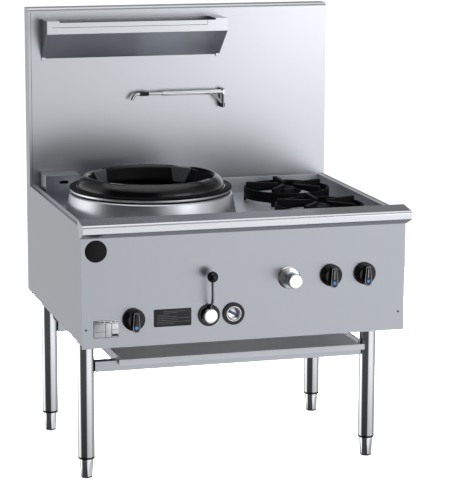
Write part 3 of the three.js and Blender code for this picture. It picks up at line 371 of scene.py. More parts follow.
def prism(outline, low, high, edge=0.0):
    """A slab from an (x, y) outline, with its upper edge rounded over."""
    steps = 3
    centre = Vector([sum(p[i] for p in outline) / len(outline) for i in (0, 1)])
    rings = [(0.0, low)]
    for k in range(steps + 1):
        turn = math.pi / 2 * k / steps
        rings.append((edge * (1 - math.cos(turn)), high - edge + edge * math.sin(turn)))
    points = []
    for inset, height in rings:
        for p in outline:
            away = Vector(p) - centre
            at = centre + away * (1 - inset / max(away.length, edge + AXIS))
            points.append((at.x * MM, at.y * MM, height * MM))
    return points, skin(len(rings), len(outline))


def swept(path, radius):
    """A round bar along a smooth path, with closed ends."""
    sides = 24
    points = []
    path = [Vector(p) for p in path]
    for i, at in enumerate(path):
        along = (path[min(i + 1, len(path) - 1)] - path[max(i - 1, 0)]).normalized()
        across = along.cross(Vector((0, 1, 0)))
        across = across.normalized() if across.length > 0.01 else Vector((1, 0, 0))
        up = across.cross(along)
        for k in range(sides):
            angle = 2 * math.pi * k / sides
            points.append((at + (across * math.cos(angle) + up * math.sin(angle)) * radius) * MM)
    return points, skin(len(path), sides)


# ---------- pieces ----------
def finish_piece(name, mesh, material, body, replaces=(), crease=CREASE):
    """Puts a mesh in the scene as a smooth-shaded piece that rides on a body."""
    mesh.materials.append(material)
    mesh.shade_smooth()
    mesh.set_sharp_from_angle(angle=math.radians(crease))
    piece = bpy.data.objects.new(name, mesh)
    bpy.context.scene.collection.objects.link(piece)
    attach(piece, body)
    if replaces:
        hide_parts(*replaces)
    return piece


def assemble(name, parts, turn, place, material, body, replaces=(), crease=CREASE):
    """One piece from its parts, turned and moved to its place."""
    points, faces = [], []
    for part_points, part_faces in parts:
        start = len(points)
        points += [turn @ Vector(p) + Vector(place) for p in part_points]
        faces += [[start + i for i in face] for face in part_faces]
    mesh = bpy.data.meshes.new(name)
    mesh.from_pydata(points, [], faces)
    work = bmesh.new()
    work.from_mesh(mesh)
    bmesh.ops.remove_doubles(work, verts=work.verts, dist=MERGE)
    bmesh.ops.recalc_face_normals(work, faces=work.faces)
    work.to_mesh(mesh)
    work.free()
    return finish_piece(name, mesh, material, body, replaces, crease)


def soften(node, material, radius):
    """A copy of a CAD node with its edges rounded, as folded and deburred sheet has them."""
    flat = 2                     # degrees up to which two faces are one
    source = frame["nodes"][node]
    mesh = source.data.copy()
    mesh.materials.clear()
    work = bmesh.new()
    work.from_mesh(mesh)
    bmesh.ops.remove_doubles(work, verts=work.verts, dist=MERGE)
    bmesh.ops.dissolve_limit(work, angle_limit=math.radians(flat), verts=work.verts, edges=work.edges)
    sharp = [e for e in work.edges if len(e.link_faces) == 2
             and e.calc_face_angle() > math.radians(CREASE)]
    bmesh.ops.bevel(work, geom=sharp, offset=radius * MM, segments=3, profile=0.5,
                    affect="EDGES", clamp_overlap=True)
    work.to_mesh(mesh)
    work.free()
    piece = finish_piece(node + "_dressed", mesh, material, source["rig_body"], [node])
    piece.modifiers.new("even_shading", "WEIGHTED_NORMAL").keep_sharp = True
    return piece


def refinish(piece, material, chosen):
    """Gives a second material to the faces whose centre passes the test."""
    piece.data.materials.append(material)
    for face in piece.data.polygons:
        if chosen(face.center):
            face.material_index = 1


# ---------- folded sheet and tube: CAD pieces with rounded edges ----------
def sheet_and_tube():
    for node, material, radius in (
        ("front_panel", panel_steel, 0.5), ("front_rail", rail_steel, 0.6),
        ("left_side_panel", side_steel, 0.5), ("right_side_panel", side_steel, 0.5),
        ("hob_pan", pan_steel, 0.5), ("drain_cover_box", panel_steel, 0.5),
        ("splashback", splash_steel, 0.6), ("condiment_shelf", shelf_steel, 0.6),
        ("cross_rail_front", panel_steel, 0.8), ("cross_rail_rear", panel_steel, 0.8),
        ("tray_runner_left", side_steel, 0.4), ("tray_runner_right", side_steel, 0.4),
        ("drip_tray", tray_steel, 0.5),
    ):
        soften(node, material, radius)
    for node, radius in (("rear_panel", 0.4), ("frame_rail_left", 0.8), ("frame_rail_right", 0.8),
                         ("gas_manifold", 0.4), ("wok_gas_pipe", 0.4)):
        soften(node, zinc, radius)
    soften("wok_burner", iron, 0.6)
    for node in ("pilot_valve", "front_burner_valve", "rear_burner_valve", "pilot_spindle",
                 "front_burner_spindle", "rear_burner_spindle", "wok_valve", "water_valve"):
        soften(node, brass, 0.3)


# ---------- legs ----------
PLATE_SIDE, PLATE_THICK = 80, 4
TUBE_WALL = 1.5
BUSH_LIP = 5.7                   # height of the bush that shows below the tube
BUSH_DEPTH = 25                  # height of the bush inside the tube
BUSH_INSIDE = 22.3               # its radius there
BUSH_BORE = 8.5
STEM_RADIUS, STEM_LENGTH = 8, 64
SOLE = 4                         # thickness of the foot's black sole
FLATS = 6
FOOT_EDGE = 1.2                  # how far the foot's two ends are rounded
FOOT_WIDE = 19.75                # radius at the foot's shoulder
FOOT_ROUND = 17.3                # radius at the floor, between the flats
FOOT_FLAT = 14.8                 # distance of the flats from the axis, at the floor


def flatted_cone(low, high, shoulder):
    """A stretch of the foot: a taper whose flats grow towards the floor, rounded at both ends."""
    rows = 14
    points = []
    for row in range(rows + 1):
        z = low + (high - low) * row / rows
        share = z / shoulder
        edge = FOOT_EDGE * max(0, 1 - min(z, shoulder - z) / FOOT_EDGE) ** 2
        radius = FOOT_ROUND + (FOOT_WIDE - FOOT_ROUND) * share - edge
        flat = FOOT_FLAT + (FOOT_WIDE - FOOT_FLAT) * share - edge
        for k in range(ROUND):
            angle = 2 * math.pi * k / ROUND
            from_flat = angle % (2 * math.pi / FLATS) - math.pi / FLATS
            r = min(radius, flat / math.cos(from_flat))
            points.append((r * math.sin(angle) * MM, r * math.cos(angle) * MM, z * MM))
    return points, skin(rows + 1, ROUND)


def leg_set(corner):
    """The tube with its plate, the bush in its end, and the foot with its sole."""
    place = centre_line(f"leg_{corner}")
    bottom, top = heights(f"leg_{corner}")
    radius = reach(f"leg_collar_{corner}")
    bore = radius - TUBE_WALL
    # The row just below the plate keeps the shading of the long wall straight.
    tube = turned(rounded([(bore, bottom), (radius, bottom), (radius, top - PLATE_THICK - 0.2),
                           (radius, top - SEAT), (bore, top - SEAT)], 0.5, 2, loop=True), loop=True)
    plate = prism(rectangle(PLATE_SIDE, PLATE_SIDE, 6), top - PLATE_THICK, top, 0.4)
    assemble(f"leg_tube_{corner}", [tube, plate], UPRIGHT, place,
             polished_steel, "root", [f"leg_{corner}"])
    seat = bottom - SEAT
    bush = turned(rounded([(BUSH_BORE, seat - BUSH_LIP), (radius, seat - BUSH_LIP), (radius, seat),
                           (BUSH_INSIDE, seat), (BUSH_INSIDE, seat + BUSH_DEPTH),
                           (BUSH_BORE, seat + BUSH_DEPTH)], 0.8, 3, loop=True), loop=True)
    assemble(f"leg_bush_{corner}", [bush], UPRIGHT, place,
             plastic, "root", [f"leg_collar_{corner}"])
    shoulder = seat - BUSH_LIP - SEAT
    stem = turned([(AXIS, shoulder - WELD), (STEM_RADIUS, shoulder - WELD),
                   (STEM_RADIUS, shoulder + STEM_LENGTH), (AXIS, shoulder + STEM_LENGTH)], SMALL_ROUND)
    assemble(f"adjuster_{corner}", [flatted_cone(SOLE, shoulder, shoulder), stem], UPRIGHT, place,
             polished_steel, f"foot_{corner}", [f"foot_{corner}"])
    assemble(f"sole_{corner}", [flatted_cone(0, SOLE, shoulder)], UPRIGHT, place,
             rubber, f"foot_{corner}")


# ---------- wok station ----------
HOB, LIP_TOP = heights("wok_collar")     # what the collar stands on, and its upper face
PAD_LOW, CREST = heights("wok_ring")     # underside of the pads, and top of the crown
COLLAR_WALL = 2
NECK = 231                               # radius in the groove below the collar's lip
NECK_LOW, NECK_HIGH = 788, 793.2
LIP = 236                                # radius of the collar's lip
RING_SEAT = LIP_TOP + SEAT
CREST_RADIUS = 189
CROWN_WIDTH, CROWN_RISE = 26, 32         # of the crown, outwards and down from its crest
CROWN_POWER = 1.2                        # of the crown's curve: 1 is a quarter of an ellipse
DIP, DIP_ANGLE = 2.6, 9.5                # depth and half width in degrees of the dip at a pad
PADS = 4
PAD_TOP = 835
PAD_MIDDLE = 813                         # height towards which a pad's face narrows
SHADE_INSIDE, MATTE_OUTSIDE = 181, 216.5   # the ring is painted black inside its crown as shade, and is matte black outside it
CHAMBER_SHADE = 200                       # radius up to which the chamber is painted black as shade


def blacken(piece, centre, inside, outside=math.inf):
    """Paints matte black the faces nearer to the upright centre line than one radius or beyond another;
    near the centre this is painted shade.
    """
    def to_blacken(at):
        return not inside < math.hypot(at.x - centre[0], at.y - centre[1]) / MM < outside
    refinish(piece, matte_black_shade, to_blacken)


def collar(place):
    """Conical collar with a narrow neck below its lip."""
    foot = reach("wok_collar")
    shoulder = NECK + 7
    bore = NECK - 4
    profile = [(foot - COLLAR_WALL, HOB), (foot, HOB), (shoulder, NECK_LOW - 3), (NECK + 4, NECK_LOW),
               (NECK, NECK_LOW), (NECK, NECK_HIGH), (LIP - 1, NECK_HIGH), (LIP, NECK_HIGH + 1),
               (LIP, LIP_TOP - 1), (LIP - 1, LIP_TOP), (bore, LIP_TOP), (bore, NECK_LOW - 2),
               (NECK + 2, NECK_LOW - 4)]
    assemble("collar_shell", [turned(rounded(profile, 1.0, loop=True), 2 * ROUND, loop=True)], UPRIGHT,
             place, collar_steel, "root", ["wok_collar"])


def groove(place):
    """The dark shade at the bottom of the collar's groove."""
    inner, outer = NECK - 2, NECK + 1.5
    low, high = NECK_LOW + 0.2, NECK_HIGH - 0.2
    profile = [(inner, low), (outer, low), (outer, high), (inner, high)]
    assemble("collar_groove", [turned(rounded(profile, 0.6, 2, loop=True), 2 * ROUND, loop=True)], UPRIGHT,
             place, seam_shade, "root")


def crest_dips(points):
    """The crown is a little lower where the pads meet it."""
    low, blend = 812, 20         # the dip starts at this height, and is whole this much higher
    inner, outer_share = 205, 0.4        # beyond this radius only a share of it is left
    result = []
    for x, y, z in points:
        from_pad = math.degrees(math.atan2(y, x)) % (360 / PADS) - 180 / PADS
        across = math.exp(-(from_pad / DIP_ANGLE) ** 4)
        share = 1 if math.hypot(x, y) / MM < inner else outer_share
        high = max(0, min(1, (z / MM - low) / blend)) * share
        result.append((x, y, z - DIP * MM * across * high))
    return result


def ring(place):
    """Enamelled casting: a flat flange, a hollow crown, and a skirt that narrows downwards."""
    flange = reach("wok_ring")
    hollow_outer, hollow_inner = 220, 201        # radii of the hollow, at the seat
    foot = CREST_RADIUS + CROWN_WIDTH
    shoulder = CREST - CROWN_RISE
    steps = 24
    crown = []
    for i in range(steps + 1):
        turn = math.pi / 2 * i / steps
        crown.append((CREST_RADIUS + CROWN_WIDTH * math.cos(turn) ** CROWN_POWER,
                      shoulder + CROWN_RISE * math.sin(turn) ** CROWN_POWER))
    rim = rounded([(hollow_outer, RING_SEAT), (flange, RING_SEAT), (flange, shoulder),
                   (foot + 4, shoulder - 0.8), (foot, shoulder)], 1.4)
    skirt = rounded([(CREST_RADIUS, CREST), (185, 836), (181, 830), (170, 800), (170, 792), (174, 792),
                     (178, 800), (CREST_RADIUS, 822), (199, 804), (hollow_inner, RING_SEAT)], 3)
    profile = [*rim[:-1], *crown, *skirt[1:]]
    points, faces = turned(profile, 2 * ROUND, loop=True)
    casting = assemble("ring_casting", [(crest_dips(points), faces)], UPRIGHT, place,
                       enamel, "ring", ["wok_ring"], 50)
    # Inside the crown the ring is painted black as shade; outside it the enamel is matte black.
    blacken(casting, place, SHADE_INSIDE, MATTE_OUTSIDE)


def pad(number, place):
    """Pad inside the ring that a pan rests on: wide at the top, leaning with the bore."""
    foot_radius, top_radius, thick = 162, 174, 9
    outline = [(-35, PAD_TOP), (-21, PAD_LOW), (21, PAD_LOW), (35, PAD_TOP)]
    face = rounded(outline, 6, loop=True)
    points = []
    for depth, shrink in ((-3, 1.0), (7, 1.0), (thick, 0.94)):
        for u, z in face:
            lean = foot_radius + (z - PAD_LOW) * (top_radius - foot_radius) / (PAD_TOP - PAD_LOW)
            points.append((u * shrink * MM, (lean + thick - depth) * MM,
                           (PAD_MIDDLE + (z - PAD_MIDDLE) * shrink) * MM))
    turn = Matrix.Rotation(math.radians(360 / PADS * number - 180 / PADS), 3, "Z")
    assemble(f"ring_pad_{number + 1}", [(points, skin(3, len(face)))], turn, place,
             pad_enamel, "ring", (), 30)


def wok_station():
    place = centre_line("wok_ring")
    collar(place)
    ring(place)
    groove(place)
    # The chamber's middle is painted black, as shade.
    blacken(soften("wok_chamber", zinc, 0.5), place, CHAMBER_SHADE)
    for number in range(PADS):
        pad(number, place)


# ---------- open burners ----------
ARMS = 5
ARM_HALF = 6                     # half of an arm's thickness
ARM_END = 124.5                  # radius where the arms end inside the trivet's ring


def trivet(which):
    """A ring on five posts, with five arms that grow thinner inwards."""
    node = f"trivet_{which}"
    foot, top = heights(node)
    radius = reach(node)
    wall, low, high = 8, 722, 753
    bore = radius - wall
    hoop = rounded([(bore, low), (radius, low), (radius, high), (bore, high)], 2, 3, loop=True)
    parts = [turned(hoop, loop=True)]
    side = rounded([(26, 757), (111, 741), (ARM_END, 735), (ARM_END, top), (26, 764)], 3, loop=True)
    for i in range(ARMS):
        turn = Matrix.Rotation(math.radians(360 / ARMS * i + 90), 3, "Z")
        arm, arm_faces = prism(side, -ARM_HALF, ARM_HALF, 1.5)
        parts.append(([turn @ Vector((x, -z, y)) for x, y, z in arm], arm_faces))
        post, post_faces = prism(rectangle(wall, 2 * ARM_HALF, 1.5), foot, low + 2, 0.5)
        out = Vector(((bore + wall / 2) * MM, 0, 0))
        parts.append(([turn @ (Vector(p) + out) for p in post], post_faces))
    assemble(f"trivet_casting_{which}", parts, UPRIGHT, centre_line(node), iron, node, [node])


def burner(which):
    """The burner's bowl on its flange, and the cap over its ports."""
    base, cap = f"burner_{which}", f"burner_cap_{which}"
    low, high = heights(base)
    flange = reach(base)
    bowl = rounded([(AXIS, low), (14, low), (14, 688), (52, 702), (54, HOB), (flange, HOB),
                    (flange, HOB + 2), (54, HOB + 4), (38, 726), (42, high), (38, high), (32, 724),
                    (AXIS, 724)], 2, 3)
    assemble(f"burner_bowl_{which}", [turned(bowl)], UPRIGHT, centre_line(base), iron, "root",
             [base])
    seat, top = heights(cap)
    brim = reach(cap)
    lid = rounded([(AXIS, seat), (31, seat), (31, high + SEAT), (brim, high + SEAT),
                   (brim, high + SEAT + 3), (37, top), (12, top), (10, top - 2), (AXIS, top - 2)], 1.5, 3)
    assemble(f"burner_lid_{which}", [turned(lid)], UPRIGHT, centre_line(base), iron, "root",
             [cap])


# ---------- controls: heights are distances from the front panel ----------
GRIP = [(-7.5, 25), (-9.5, 4), (-11.5, -18), (-8.5, -27), (-3, -30.5), (3, -30.5), (8.5, -27),
        (11.5, -18), (9.5, 4), (7.5, 25)]
GRIP_FACE = 35                   # height of the grip's face
WINDOW = -17                     # place along the grip of its round window
FLUTES, FLUTE_DEPTH = 20, 0.9
STEM, STEM_DEPTH = 4, 31         # radius and depth of the stems behind the panel


def fluted(part):
    """The part with shallow flutes round its outermost edge."""
    inner = 0.9                  # share of the radius where the flutes run out
    points, faces = part
    outer = max(math.hypot(p[0], p[1]) for p in points)
    result = []
    for x, y, z in points:
        share = max(0, (math.hypot(x, y) / outer - inner) / (1 - inner))
        wave = abs(math.sin(FLUTES / 2 * math.atan2(y, x))) ** 0.5
        scale = 1 - share * FLUTE_DEPTH * MM * (1 - wave) / outer
        result.append((x * scale, y * scale, z))
    return result, faces


def highlight_band(outline, outer, inner, low, high):
    """A flat band between two copies of an outline, drawn in less along its length."""
    along = 0.35                 # share of the drawing in that is kept along the length
    points = []
    for share, height in ((outer, low), (outer, high), (inner, high), (inner, low)):
        points += [(x * share * MM, y * (1 - (1 - share) * along) * MM, height * MM) for x, y in outline]
    return points, skin(4, len(outline), loop=True)


def knob(use, has_pointer):
    """A fluted skirt with a tapered grip, a pale band round the grip's face that is a painted highlight of
    its edge, and a blue inlay in a round window.
    """
    place = on_panel(f"{use}_spindle")
    body = f"{use}_knob"
    radius = reach(body)
    skirt = turned(rounded([(AXIS, 4.5), (radius, 4.5), (radius, 9.5), (28.5, 11.5), (24, 12.5),
                            (21, 19.5), (AXIS, 19.5)], 1.0), 2 * ROUND)
    outline = rounded(GRIP, 3, loop=True)
    assemble(f"{use}_dial", [fluted(skirt), prism(outline, 11, GRIP_FACE, 1.2)], FACING_FRONT, place,
             plastic, body, [body])

    def mark(kind, part, material):
        assemble(f"{use}_dial_{kind}", [part], FACING_FRONT, place, material, body)

    raised = GRIP_FACE + 0.35
    # The pale band round the grip's face is a painted highlight of its edge.
    mark("line", highlight_band(outline, 0.88, 0.80, GRIP_FACE, raised), pale_print_and_highlight)
    if has_pointer:
        mark("pointer", prism(shifted(rectangle(1.6, 26, 0.4), 0, 6), GRIP_FACE, raised, 0.1), pale_print_and_highlight)
    mark("window", prism(shifted(circle(7), 0, WINDOW), GRIP_FACE, GRIP_FACE + 0.3, 0.2), teal_ring)
    mark("inlay", prism(shifted(circle(4), 0, WINDOW), GRIP_FACE + 0.2, GRIP_FACE + 0.8, 0.3), blue_inlay)


def stem(end):
    """The round bar behind the panel that turns with a handle."""
    return turned([(AXIS, -STEM_DEPTH), (STEM, -STEM_DEPTH), (STEM, end), (AXIS, end)], SMALL_ROUND)


def lever():
    """The bezel, the hub that turns in it, the bent rod and its ball."""
    place = on_panel("lever_bezel")
    outer = reach("lever_bezel")
    bezel = turned(rounded([(21.6, SEAT), (outer, SEAT), (outer, 4.3), (21.6, 4.3)], 0.9, 3, loop=True),
                   loop=True)
    assemble("lever_ring", [bezel], FACING_FRONT, place, plastic, "root", ["lever_bezel"])
    radius = reach("wok_lever")
    hub = turned(rounded([(AXIS, 1.3), (radius, 1.3), (radius, 19), (18, 20.3), (10, 20.9), (AXIS, 21)], 2))
    assemble("lever_hub", [hub, stem(2)], FACING_FRONT, place, chrome, "lever", ["wok_lever"])
    rod = swept(smooth_path([(0, -14, 17), (0, -18, 27), (0, -40, 51), (0, -40, 104)]), 3.75)
    # The rod's chrome is painted dark, as a dark reflection.
    assemble("lever_rod", [rod], UPRIGHT, place, chrome_painted_dark, "lever")
    radius = reach("wok_lever_ball")
    half_turn = [math.pi * k / 32 for k in range(33)]
    arc = [(max(AXIS, radius * math.sin(turn)), -radius * math.cos(turn)) for turn in half_turn]
    assemble("lever_grip", [turned(arc, SMALL_ROUND)], UPRIGHT, middle("wok_lever_ball"), plastic,
             "lever", ["wok_lever_ball"])


def sight_port():
    """A black rim and its tube, a chrome dish with a thin lip, and the blue bar across it."""
    place = on_panel("sight_port")
    outer = reach("sight_port")
    rim = turned(rounded([(20.5, SEAT), (outer, SEAT), (outer, 6.3), (20.5, 6.3)], 1.0, 3, loop=True),
                 loop=True)
    tube = turned([(20, 0), (22, 0), (22, -118), (20, -118)], loop=True)
    assemble("sight_ring", [rim, tube], FACING_FRONT, place, plastic, "root",
             ["sight_port"])
    lip = turned(rounded([(19.2, 2), (21.5, 2), (21.5, 6.6), (19.2, 6.6)], 0.5, 2, loop=True), loop=True)
    dish = turned([(AXIS, -6), (10, -5.6), (16, -3.5), (19.6, 1.5), (19.6, -8), (AXIS, -8)])
    assemble("sight_dish", [lip, dish], FACING_FRONT, place, soft_chrome, "root")
    bar = prism(rectangle(20, 7, 2), -5.4, -2.5, 0.6)
    slant = FACING_FRONT @ Matrix.Rotation(math.radians(-28), 3, "Z")
    assemble("sight_bar", [bar], slant, place, blue_glass, "root")


def water_tap():
    """A turned rosette on the panel, and the handle on its stem."""
    place = on_panel("tap_flange")
    outer = reach("tap_flange")
    rosette = turned(rounded([(13.4, SEAT), (outer, SEAT), (outer, 2.3), (29, 5.3), (24, 6.6), (16, 9.3),
                              (13.4, 9.3)], 1.5, loop=True), loop=True)
    assemble("tap_rosette", [rosette], FACING_FRONT, place, soft_chrome, "root", ["tap_flange"])
    radius = reach("water_tap_knob")
    grip = turned(rounded([(AXIS, 9.6), (16, 9.6), (15, 16), (19.5, 20), (20.5, 24), (radius, 60.5),
                           (19.5, 63.7), (AXIS, 64)], 1.6))
    assemble("tap_handle", [grip, stem(10)], FACING_FRONT, place, chrome, "water_tap",
             ["water_tap_knob"])


# ---------- spout ----------
ARM_RADIUS = 7.25
SLEEVE_START, SLEEVE_LENGTH = 42, 28     # of the outlet's sleeve, from the left end of the arm
SPOUT_EDGE = 0.5                         # roundness of the edges


def spout():
    """The arm on its bracket and brace, painted dark as shade and dark reflection, and the outlet with its
    black sleeve.
    """
    low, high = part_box("spout_arm")
    underside = high.z - (2 * ARM_RADIUS + SPOUT_EDGE) * MM
    sleeve = low.x - (SLEEVE_START + SLEEVE_LENGTH / 2) * MM
    half_sleeve = (SLEEVE_LENGTH / 2 + SPOUT_EDGE) * MM
    # The bracket and the arm's brace are painted dark, as shade and dark reflection.
    soften("spout_bracket", chrome_painted_dark, SPOUT_EDGE)
    arm = soften("spout_arm", chrome, SPOUT_EDGE)
    refinish(arm, chrome_painted_dark, lambda at: at.z < underside)
    outlet = soften("spout_nozzle", chrome, SPOUT_EDGE)
    refinish(outlet, plastic, lambda at: abs(at.x - sleeve) < half_sleeve)


# ---------- small trims ----------
BADGE = (-431, 693)              # places on the front panel, as (x, z)
DATA_PLATE = (-403, 473.5)
NOTICE_PLATE = (-214, 495)
SCREWS = ((-460, 473), (454.5, 473))


def trim(name, at, parts, material):
    """A piece that is fixed to the front panel."""
    assemble(name, parts, FACING_FRONT, (at[0] * MM, PANEL_FACE, at[1] * MM), material, "root")


def bars(sizes, low, high):
    """Plain bars from (width, height, x, y)."""
    return [prism(shifted(rectangle(w, h), x, y), low, high) for w, h, x, y in sizes]


def panel_trims():
    """A blank badge, two plates with plain rules where the print would be, and two screws."""
    trim("badge_disc", BADGE, [prism(circle(31), 0, 1.6, 0.8)], badge_lacquer)
    trim("data_plate", DATA_PLATE, [prism(rectangle(74, 51, 2), 0, 0.5, 0.2)], foil)
    rules = bars((
        (72, 1.2, 0, 24), (72, 1.2, 0, -24), (1.2, 48, -35.5, 0), (1.2, 48, 35.5, 0),
        (1.6, 38, -2, -5), (1.6, 38, 15, -5), (70, 1.2, 0, 15), (17, 1.0, 25, -2),
        (17, 6.5, 25, -18), (30, 0.9, -18, -8), (14, 3, -26, 19.5), (9, 3, -12, 19.5),
        (16, 3, 4, 19.5), (10, 3, 20, 19.5), (5, 3, 30, 19.5)), 0.4, 0.62)
    trim("data_plate_rules", DATA_PLATE, rules, dark_ink)
    trim("notice_plate", NOTICE_PLATE, [prism(rectangle(108, 50, 4), 0, 0.8, 0.3)], plate_black)
    rows = bars([(w, 0.9, x, y) for w, x, y in (
        (62, 4, 18), (40, -6, 13.5), (34, -27, 8), (56, -16, 3), (92, 2, -2), (58, -15, -7),
        (94, 1, -12), (50, -20, -17))], 0.7, 0.92)
    trim("notice_plate_rules", NOTICE_PLATE, rows, dim_ink)
    head = turned(rounded([(AXIS, 0), (3.4, 0), (3.2, 1.2), (AXIS, 1.9)], 0.8, 3), SMALL_ROUND)
    for i, at in enumerate(SCREWS):
        trim(f"panel_screw_{i + 1}", at, [head], chrome_painted_dark)


def shelf_seam():
    """Painted shade: a thin dark strip in the seam where the trough's liner laps over the shelf's front."""
    low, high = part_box("condiment_shelf")
    from_left, width, below_top, line = 15, 480, 19, 1.1
    seam = [prism(rectangle(width, line), 0, 0.25),
            prism(shifted(rectangle(line, below_top), width / 2, below_top / 2), 0, 0.25)]
    at = (low.x + (from_left + width / 2) * MM, low.y, high.z - below_top * MM)
    assemble("shelf_seam", seam, FACING_FRONT, at, seam_shade, "root")


def splash_seam():
    """Painted shade: a thin dark strip in the seam where the splashback's face meets its left return."""
    low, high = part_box("splashback")
    from_left, ends, lowered = 9, 14, 5
    seam = [prism(rectangle(1.0, (high.z - low.z) / MM - ends), 0, 0.2)]
    at = (low.x + from_left * MM, low.y, (low.z + high.z) / 2 - lowered * MM)
    assemble("splash_seam", seam, FACING_FRONT, at, seam_shade, "root")


# ---------- studio ----------
WHITE = (1, 1, 1, 1)
FLOOR_HALF = 40                  # half the floor's width, in metres
FLOOR_GLOW = 0.68                # what the camera sees on the floor besides its lit grey
DULL_LIGHT = 0.5                 # brightness of the room for dull surfaces
GLOSS_LIGHT = 1.35               # and for gloss
COMPASS = (                      # brightness of the room by degrees from the front
    (-180, 0.44), (-150, 0.5), (-128, 1.2), (-106, 1.6), (-92, 0.4), (-82, 0.07), (-6, 0.07),
    (9, 0.95), (30, 1.0), (68, 1.0), (84, 0.42), (180, 0.44))
RISING = (                       # its share by height, from straight down (0) to straight up (1)
    (0.0, 0.5), (0.2, 0.45), (0.33, 1.0), (0.52, 1.0), (0.6, 0.6), (0.7, 0.35), (0.85, 0.3),
    (1.0, 0.3))
CEILING = ((0.0, 0.0), (0.82, 0.0), (0.93, 0.9), (1.0, 1.2))     # the same, all round


def floor_paper():
    """White paper that keeps the object's shadow and lets gloss see the room beyond it."""
    material, tree, shader = blank_material("floor_paper")
    shader.inputs["Base Color"].default_value = (0.8, 0.8, 0.8, 1)
    shader.inputs["Roughness"].default_value = 0.9
    path = add(tree, "LightPath")
    light = add(tree, "Emission", {"Color": WHITE, "Strength": FLOOR_GLOW})
    lit = add(tree, "AddShader", {0: shader.outputs["BSDF"], 1: light.outputs["Emission"]})
    seen = add(tree, "MixShader", {0: path.outputs["Is Camera Ray"], 1: shader.outputs["BSDF"],
                                   2: lit.outputs["Shader"]})
    clear = add(tree, "BsdfTransparent")
    mix = add(tree, "MixShader", {0: path.outputs["Is Glossy Ray"], 1: seen.outputs["Shader"],
                                  2: clear.outputs["BSDF"]})
    tree.links.new(mix.outputs["Shader"], tree.nodes["Material Output"].inputs["Surface"])
    return material


def floor():
    mesh = bpy.data.meshes.new("floor")
    corners = [(x * FLOOR_HALF, y * FLOOR_HALF, 0) for x, y in ((-1, -1), (1, -1), (1, 1), (-1, 1))]
    mesh.from_pydata(corners, [], [(0, 1, 2, 3)])
    mesh.materials.append(floor_paper())
    ground = bpy.data.objects.new("floor", mesh)
    bpy.context.scene.collection.objects.link(ground)


def brightness(tree, value, stops):
    """Grey that follows the stops, given as (share, brightness)."""
    ramp = add(tree, "ValToRGB", {"Fac": value})
    elements = ramp.color_ramp.elements
    elements[0].position, elements[1].position = stops[0][0], stops[-1][0]
    elements[0].color = (*[stops[0][1]] * 3, 1)
    elements[1].color = (*[stops[-1][1]] * 3, 1)
    for place, level in stops[1:-1]:
        elements.new(place).color = (level, level, level, 1)
    return ramp.outputs["Color"]


def studio_ring(tree):
    """Brightness of the room that gloss sees: a dark side to the front left, a wide bright side
    to the front right, grey behind, a dark band above the horizon and a bright ceiling."""
    direction = add(tree, "SeparateXYZ", {"Vector": add(tree, "TexCoord").outputs["Generated"]})
    front = add(tree, "Math", {0: direction.outputs["Y"], 1: -1.0}, operation="MULTIPLY").outputs[0]
    angle = add(tree, "Math", {0: direction.outputs["X"], 1: front}, operation="ARCTAN2").outputs[0]
    compass = add(tree, "MapRange", {"Value": angle, "From Min": -math.pi, "From Max": math.pi})
    around = brightness(tree, compass.outputs["Result"],
                        [((degrees + 180) / 360, level) for degrees, level in COMPASS])
    height = add(tree, "MapRange", {"Value": direction.outputs["Z"], "From Min": -1.0, "From Max": 1.0})
    rising = brightness(tree, height.outputs["Result"], RISING)
    sides = add(tree, "MixRGB", {"Fac": 1.0, "Color1": around, "Color2": rising}, blend_type="MULTIPLY")
    ceiling = brightness(tree, height.outputs["Result"], CEILING)
    return add(tree, "MixRGB", {"Fac": 1.0, "Color1": sides.outputs["Color"], "Color2": ceiling},
               blend_type="LIGHTEN").outputs["Color"]


def world():
    """White to the camera, an even light to dull surfaces, a studio with sides to metal."""
    studio = bpy.data.worlds.new("studio")
    studio.use_nodes = True
    tree = studio.node_tree
    room = tree.nodes["Background"]
    room.inputs["Color"].default_value = (0.93, 0.96, 1.0, 1)
    room.inputs["Strength"].default_value = DULL_LIGHT
    path = add(tree, "LightPath")
    sides = add(tree, "Background", {"Color": studio_ring(tree), "Strength": GLOSS_LIGHT})
    white = add(tree, "Background", {"Color": WHITE, "Strength": 1.0})
    gloss = add(tree, "MixShader", {0: path.outputs["Is Glossy Ray"], 1: room.outputs["Background"],
                                    2: sides.outputs["Background"]})
    clear = add(tree, "Math", {0: path.outputs["Is Camera Ray"], 1: path.outputs["Is Transmission Ray"]},
                operation="MAXIMUM").outputs[0]
    mix = add(tree, "MixShader", {0: clear, 1: gloss.outputs["Shader"], 2: white.outputs["Background"]})
    tree.links.new(mix.outputs["Shader"], tree.nodes["World Output"].inputs["Surface"])
    bpy.context.scene.world = studio


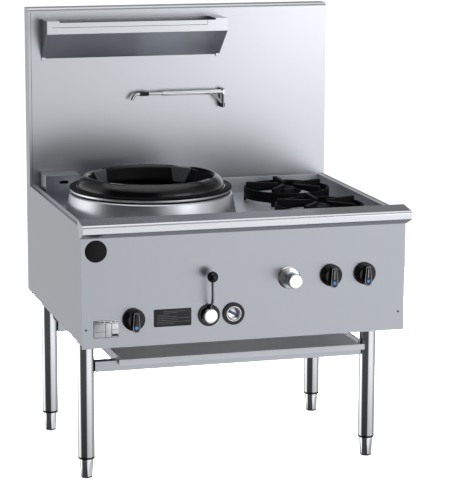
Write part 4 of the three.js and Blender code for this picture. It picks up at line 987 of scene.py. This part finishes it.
def lamp(name, place, target, size, watts, in_gloss=False):
    """A rectangular area light that the camera doesn't see."""
    light = bpy.data.lights.new(name, "AREA")
    light.shape = "RECTANGLE"
    light.size, light.size_y = size
    light.energy = watts
    stand = bpy.data.objects.new(name, light)
    stand.location = place
    stand.rotation_euler = (Vector(target) - Vector(place)).to_track_quat("-Z", "Y").to_euler()
    stand.visible_camera = False
    stand.visible_glossy = in_gloss
    bpy.context.scene.collection.objects.link(stand)


def camera():
    """The photograph's camera, as solved from its corners, rims and edges."""
    place, lens_length = (-1.69055, -6.0055, 1.83627), 161.29
    yaw, pitch, roll = (math.radians(a) for a in (16.075, 10.877, 0.19))
    ahead = Vector((math.sin(yaw) * math.cos(pitch), math.cos(yaw) * math.cos(pitch), -math.sin(pitch)))
    level = Vector((math.cos(yaw), -math.sin(yaw), 0))
    raised = level.cross(ahead)
    right = level * math.cos(roll) + raised * math.sin(roll)
    up = raised * math.cos(roll) - level * math.sin(roll)
    lens = bpy.data.cameras.new("photo_camera")
    lens.lens = lens_length
    viewer = bpy.data.objects.new("photo_camera", lens)
    turn = Matrix((right, up, -ahead)).transposed().to_4x4()
    viewer.matrix_world = Matrix.Translation(place) @ turn
    bpy.context.scene.collection.objects.link(viewer)
    bpy.context.scene.camera = viewer


# ---------- the object, the studio and the camera ----------
sheet_and_tube()
for corner in ("front_left", "front_right", "rear_left", "rear_right"):
    leg_set(corner)
wok_station()
for which in ("front", "rear"):
    trivet(which)
    burner(which)
for use, has_pointer in (("pilot", False), ("front_burner", True), ("rear_burner", True)):
    knob(use, has_pointer)
lever()
sight_port()
water_tap()
spout()
panel_trims()
shelf_seam()
splash_seam()

floor()
world()
lamp("key_right", (3.6, -4.6, 3.0), (0, 0, 0.8), size=(1.6, 1.6), watts=60)
lamp("top_soft", (0.2, -0.6, 4.2), (0, 0, 0.8), size=(3.0, 2.4), watts=60)
lamp("splash_card", (1.7, -2.5, 1.3), (0.3, 0.37, 1.15), size=(1.5, 1.2), watts=7, in_gloss=True)
lamp("low_back", (0, 2.4, 0.42), (0, 0, 0.42), size=(2.6, 0.35), watts=380)
camera()
bpy.context.scene.view_settings.view_transform = "Standard"
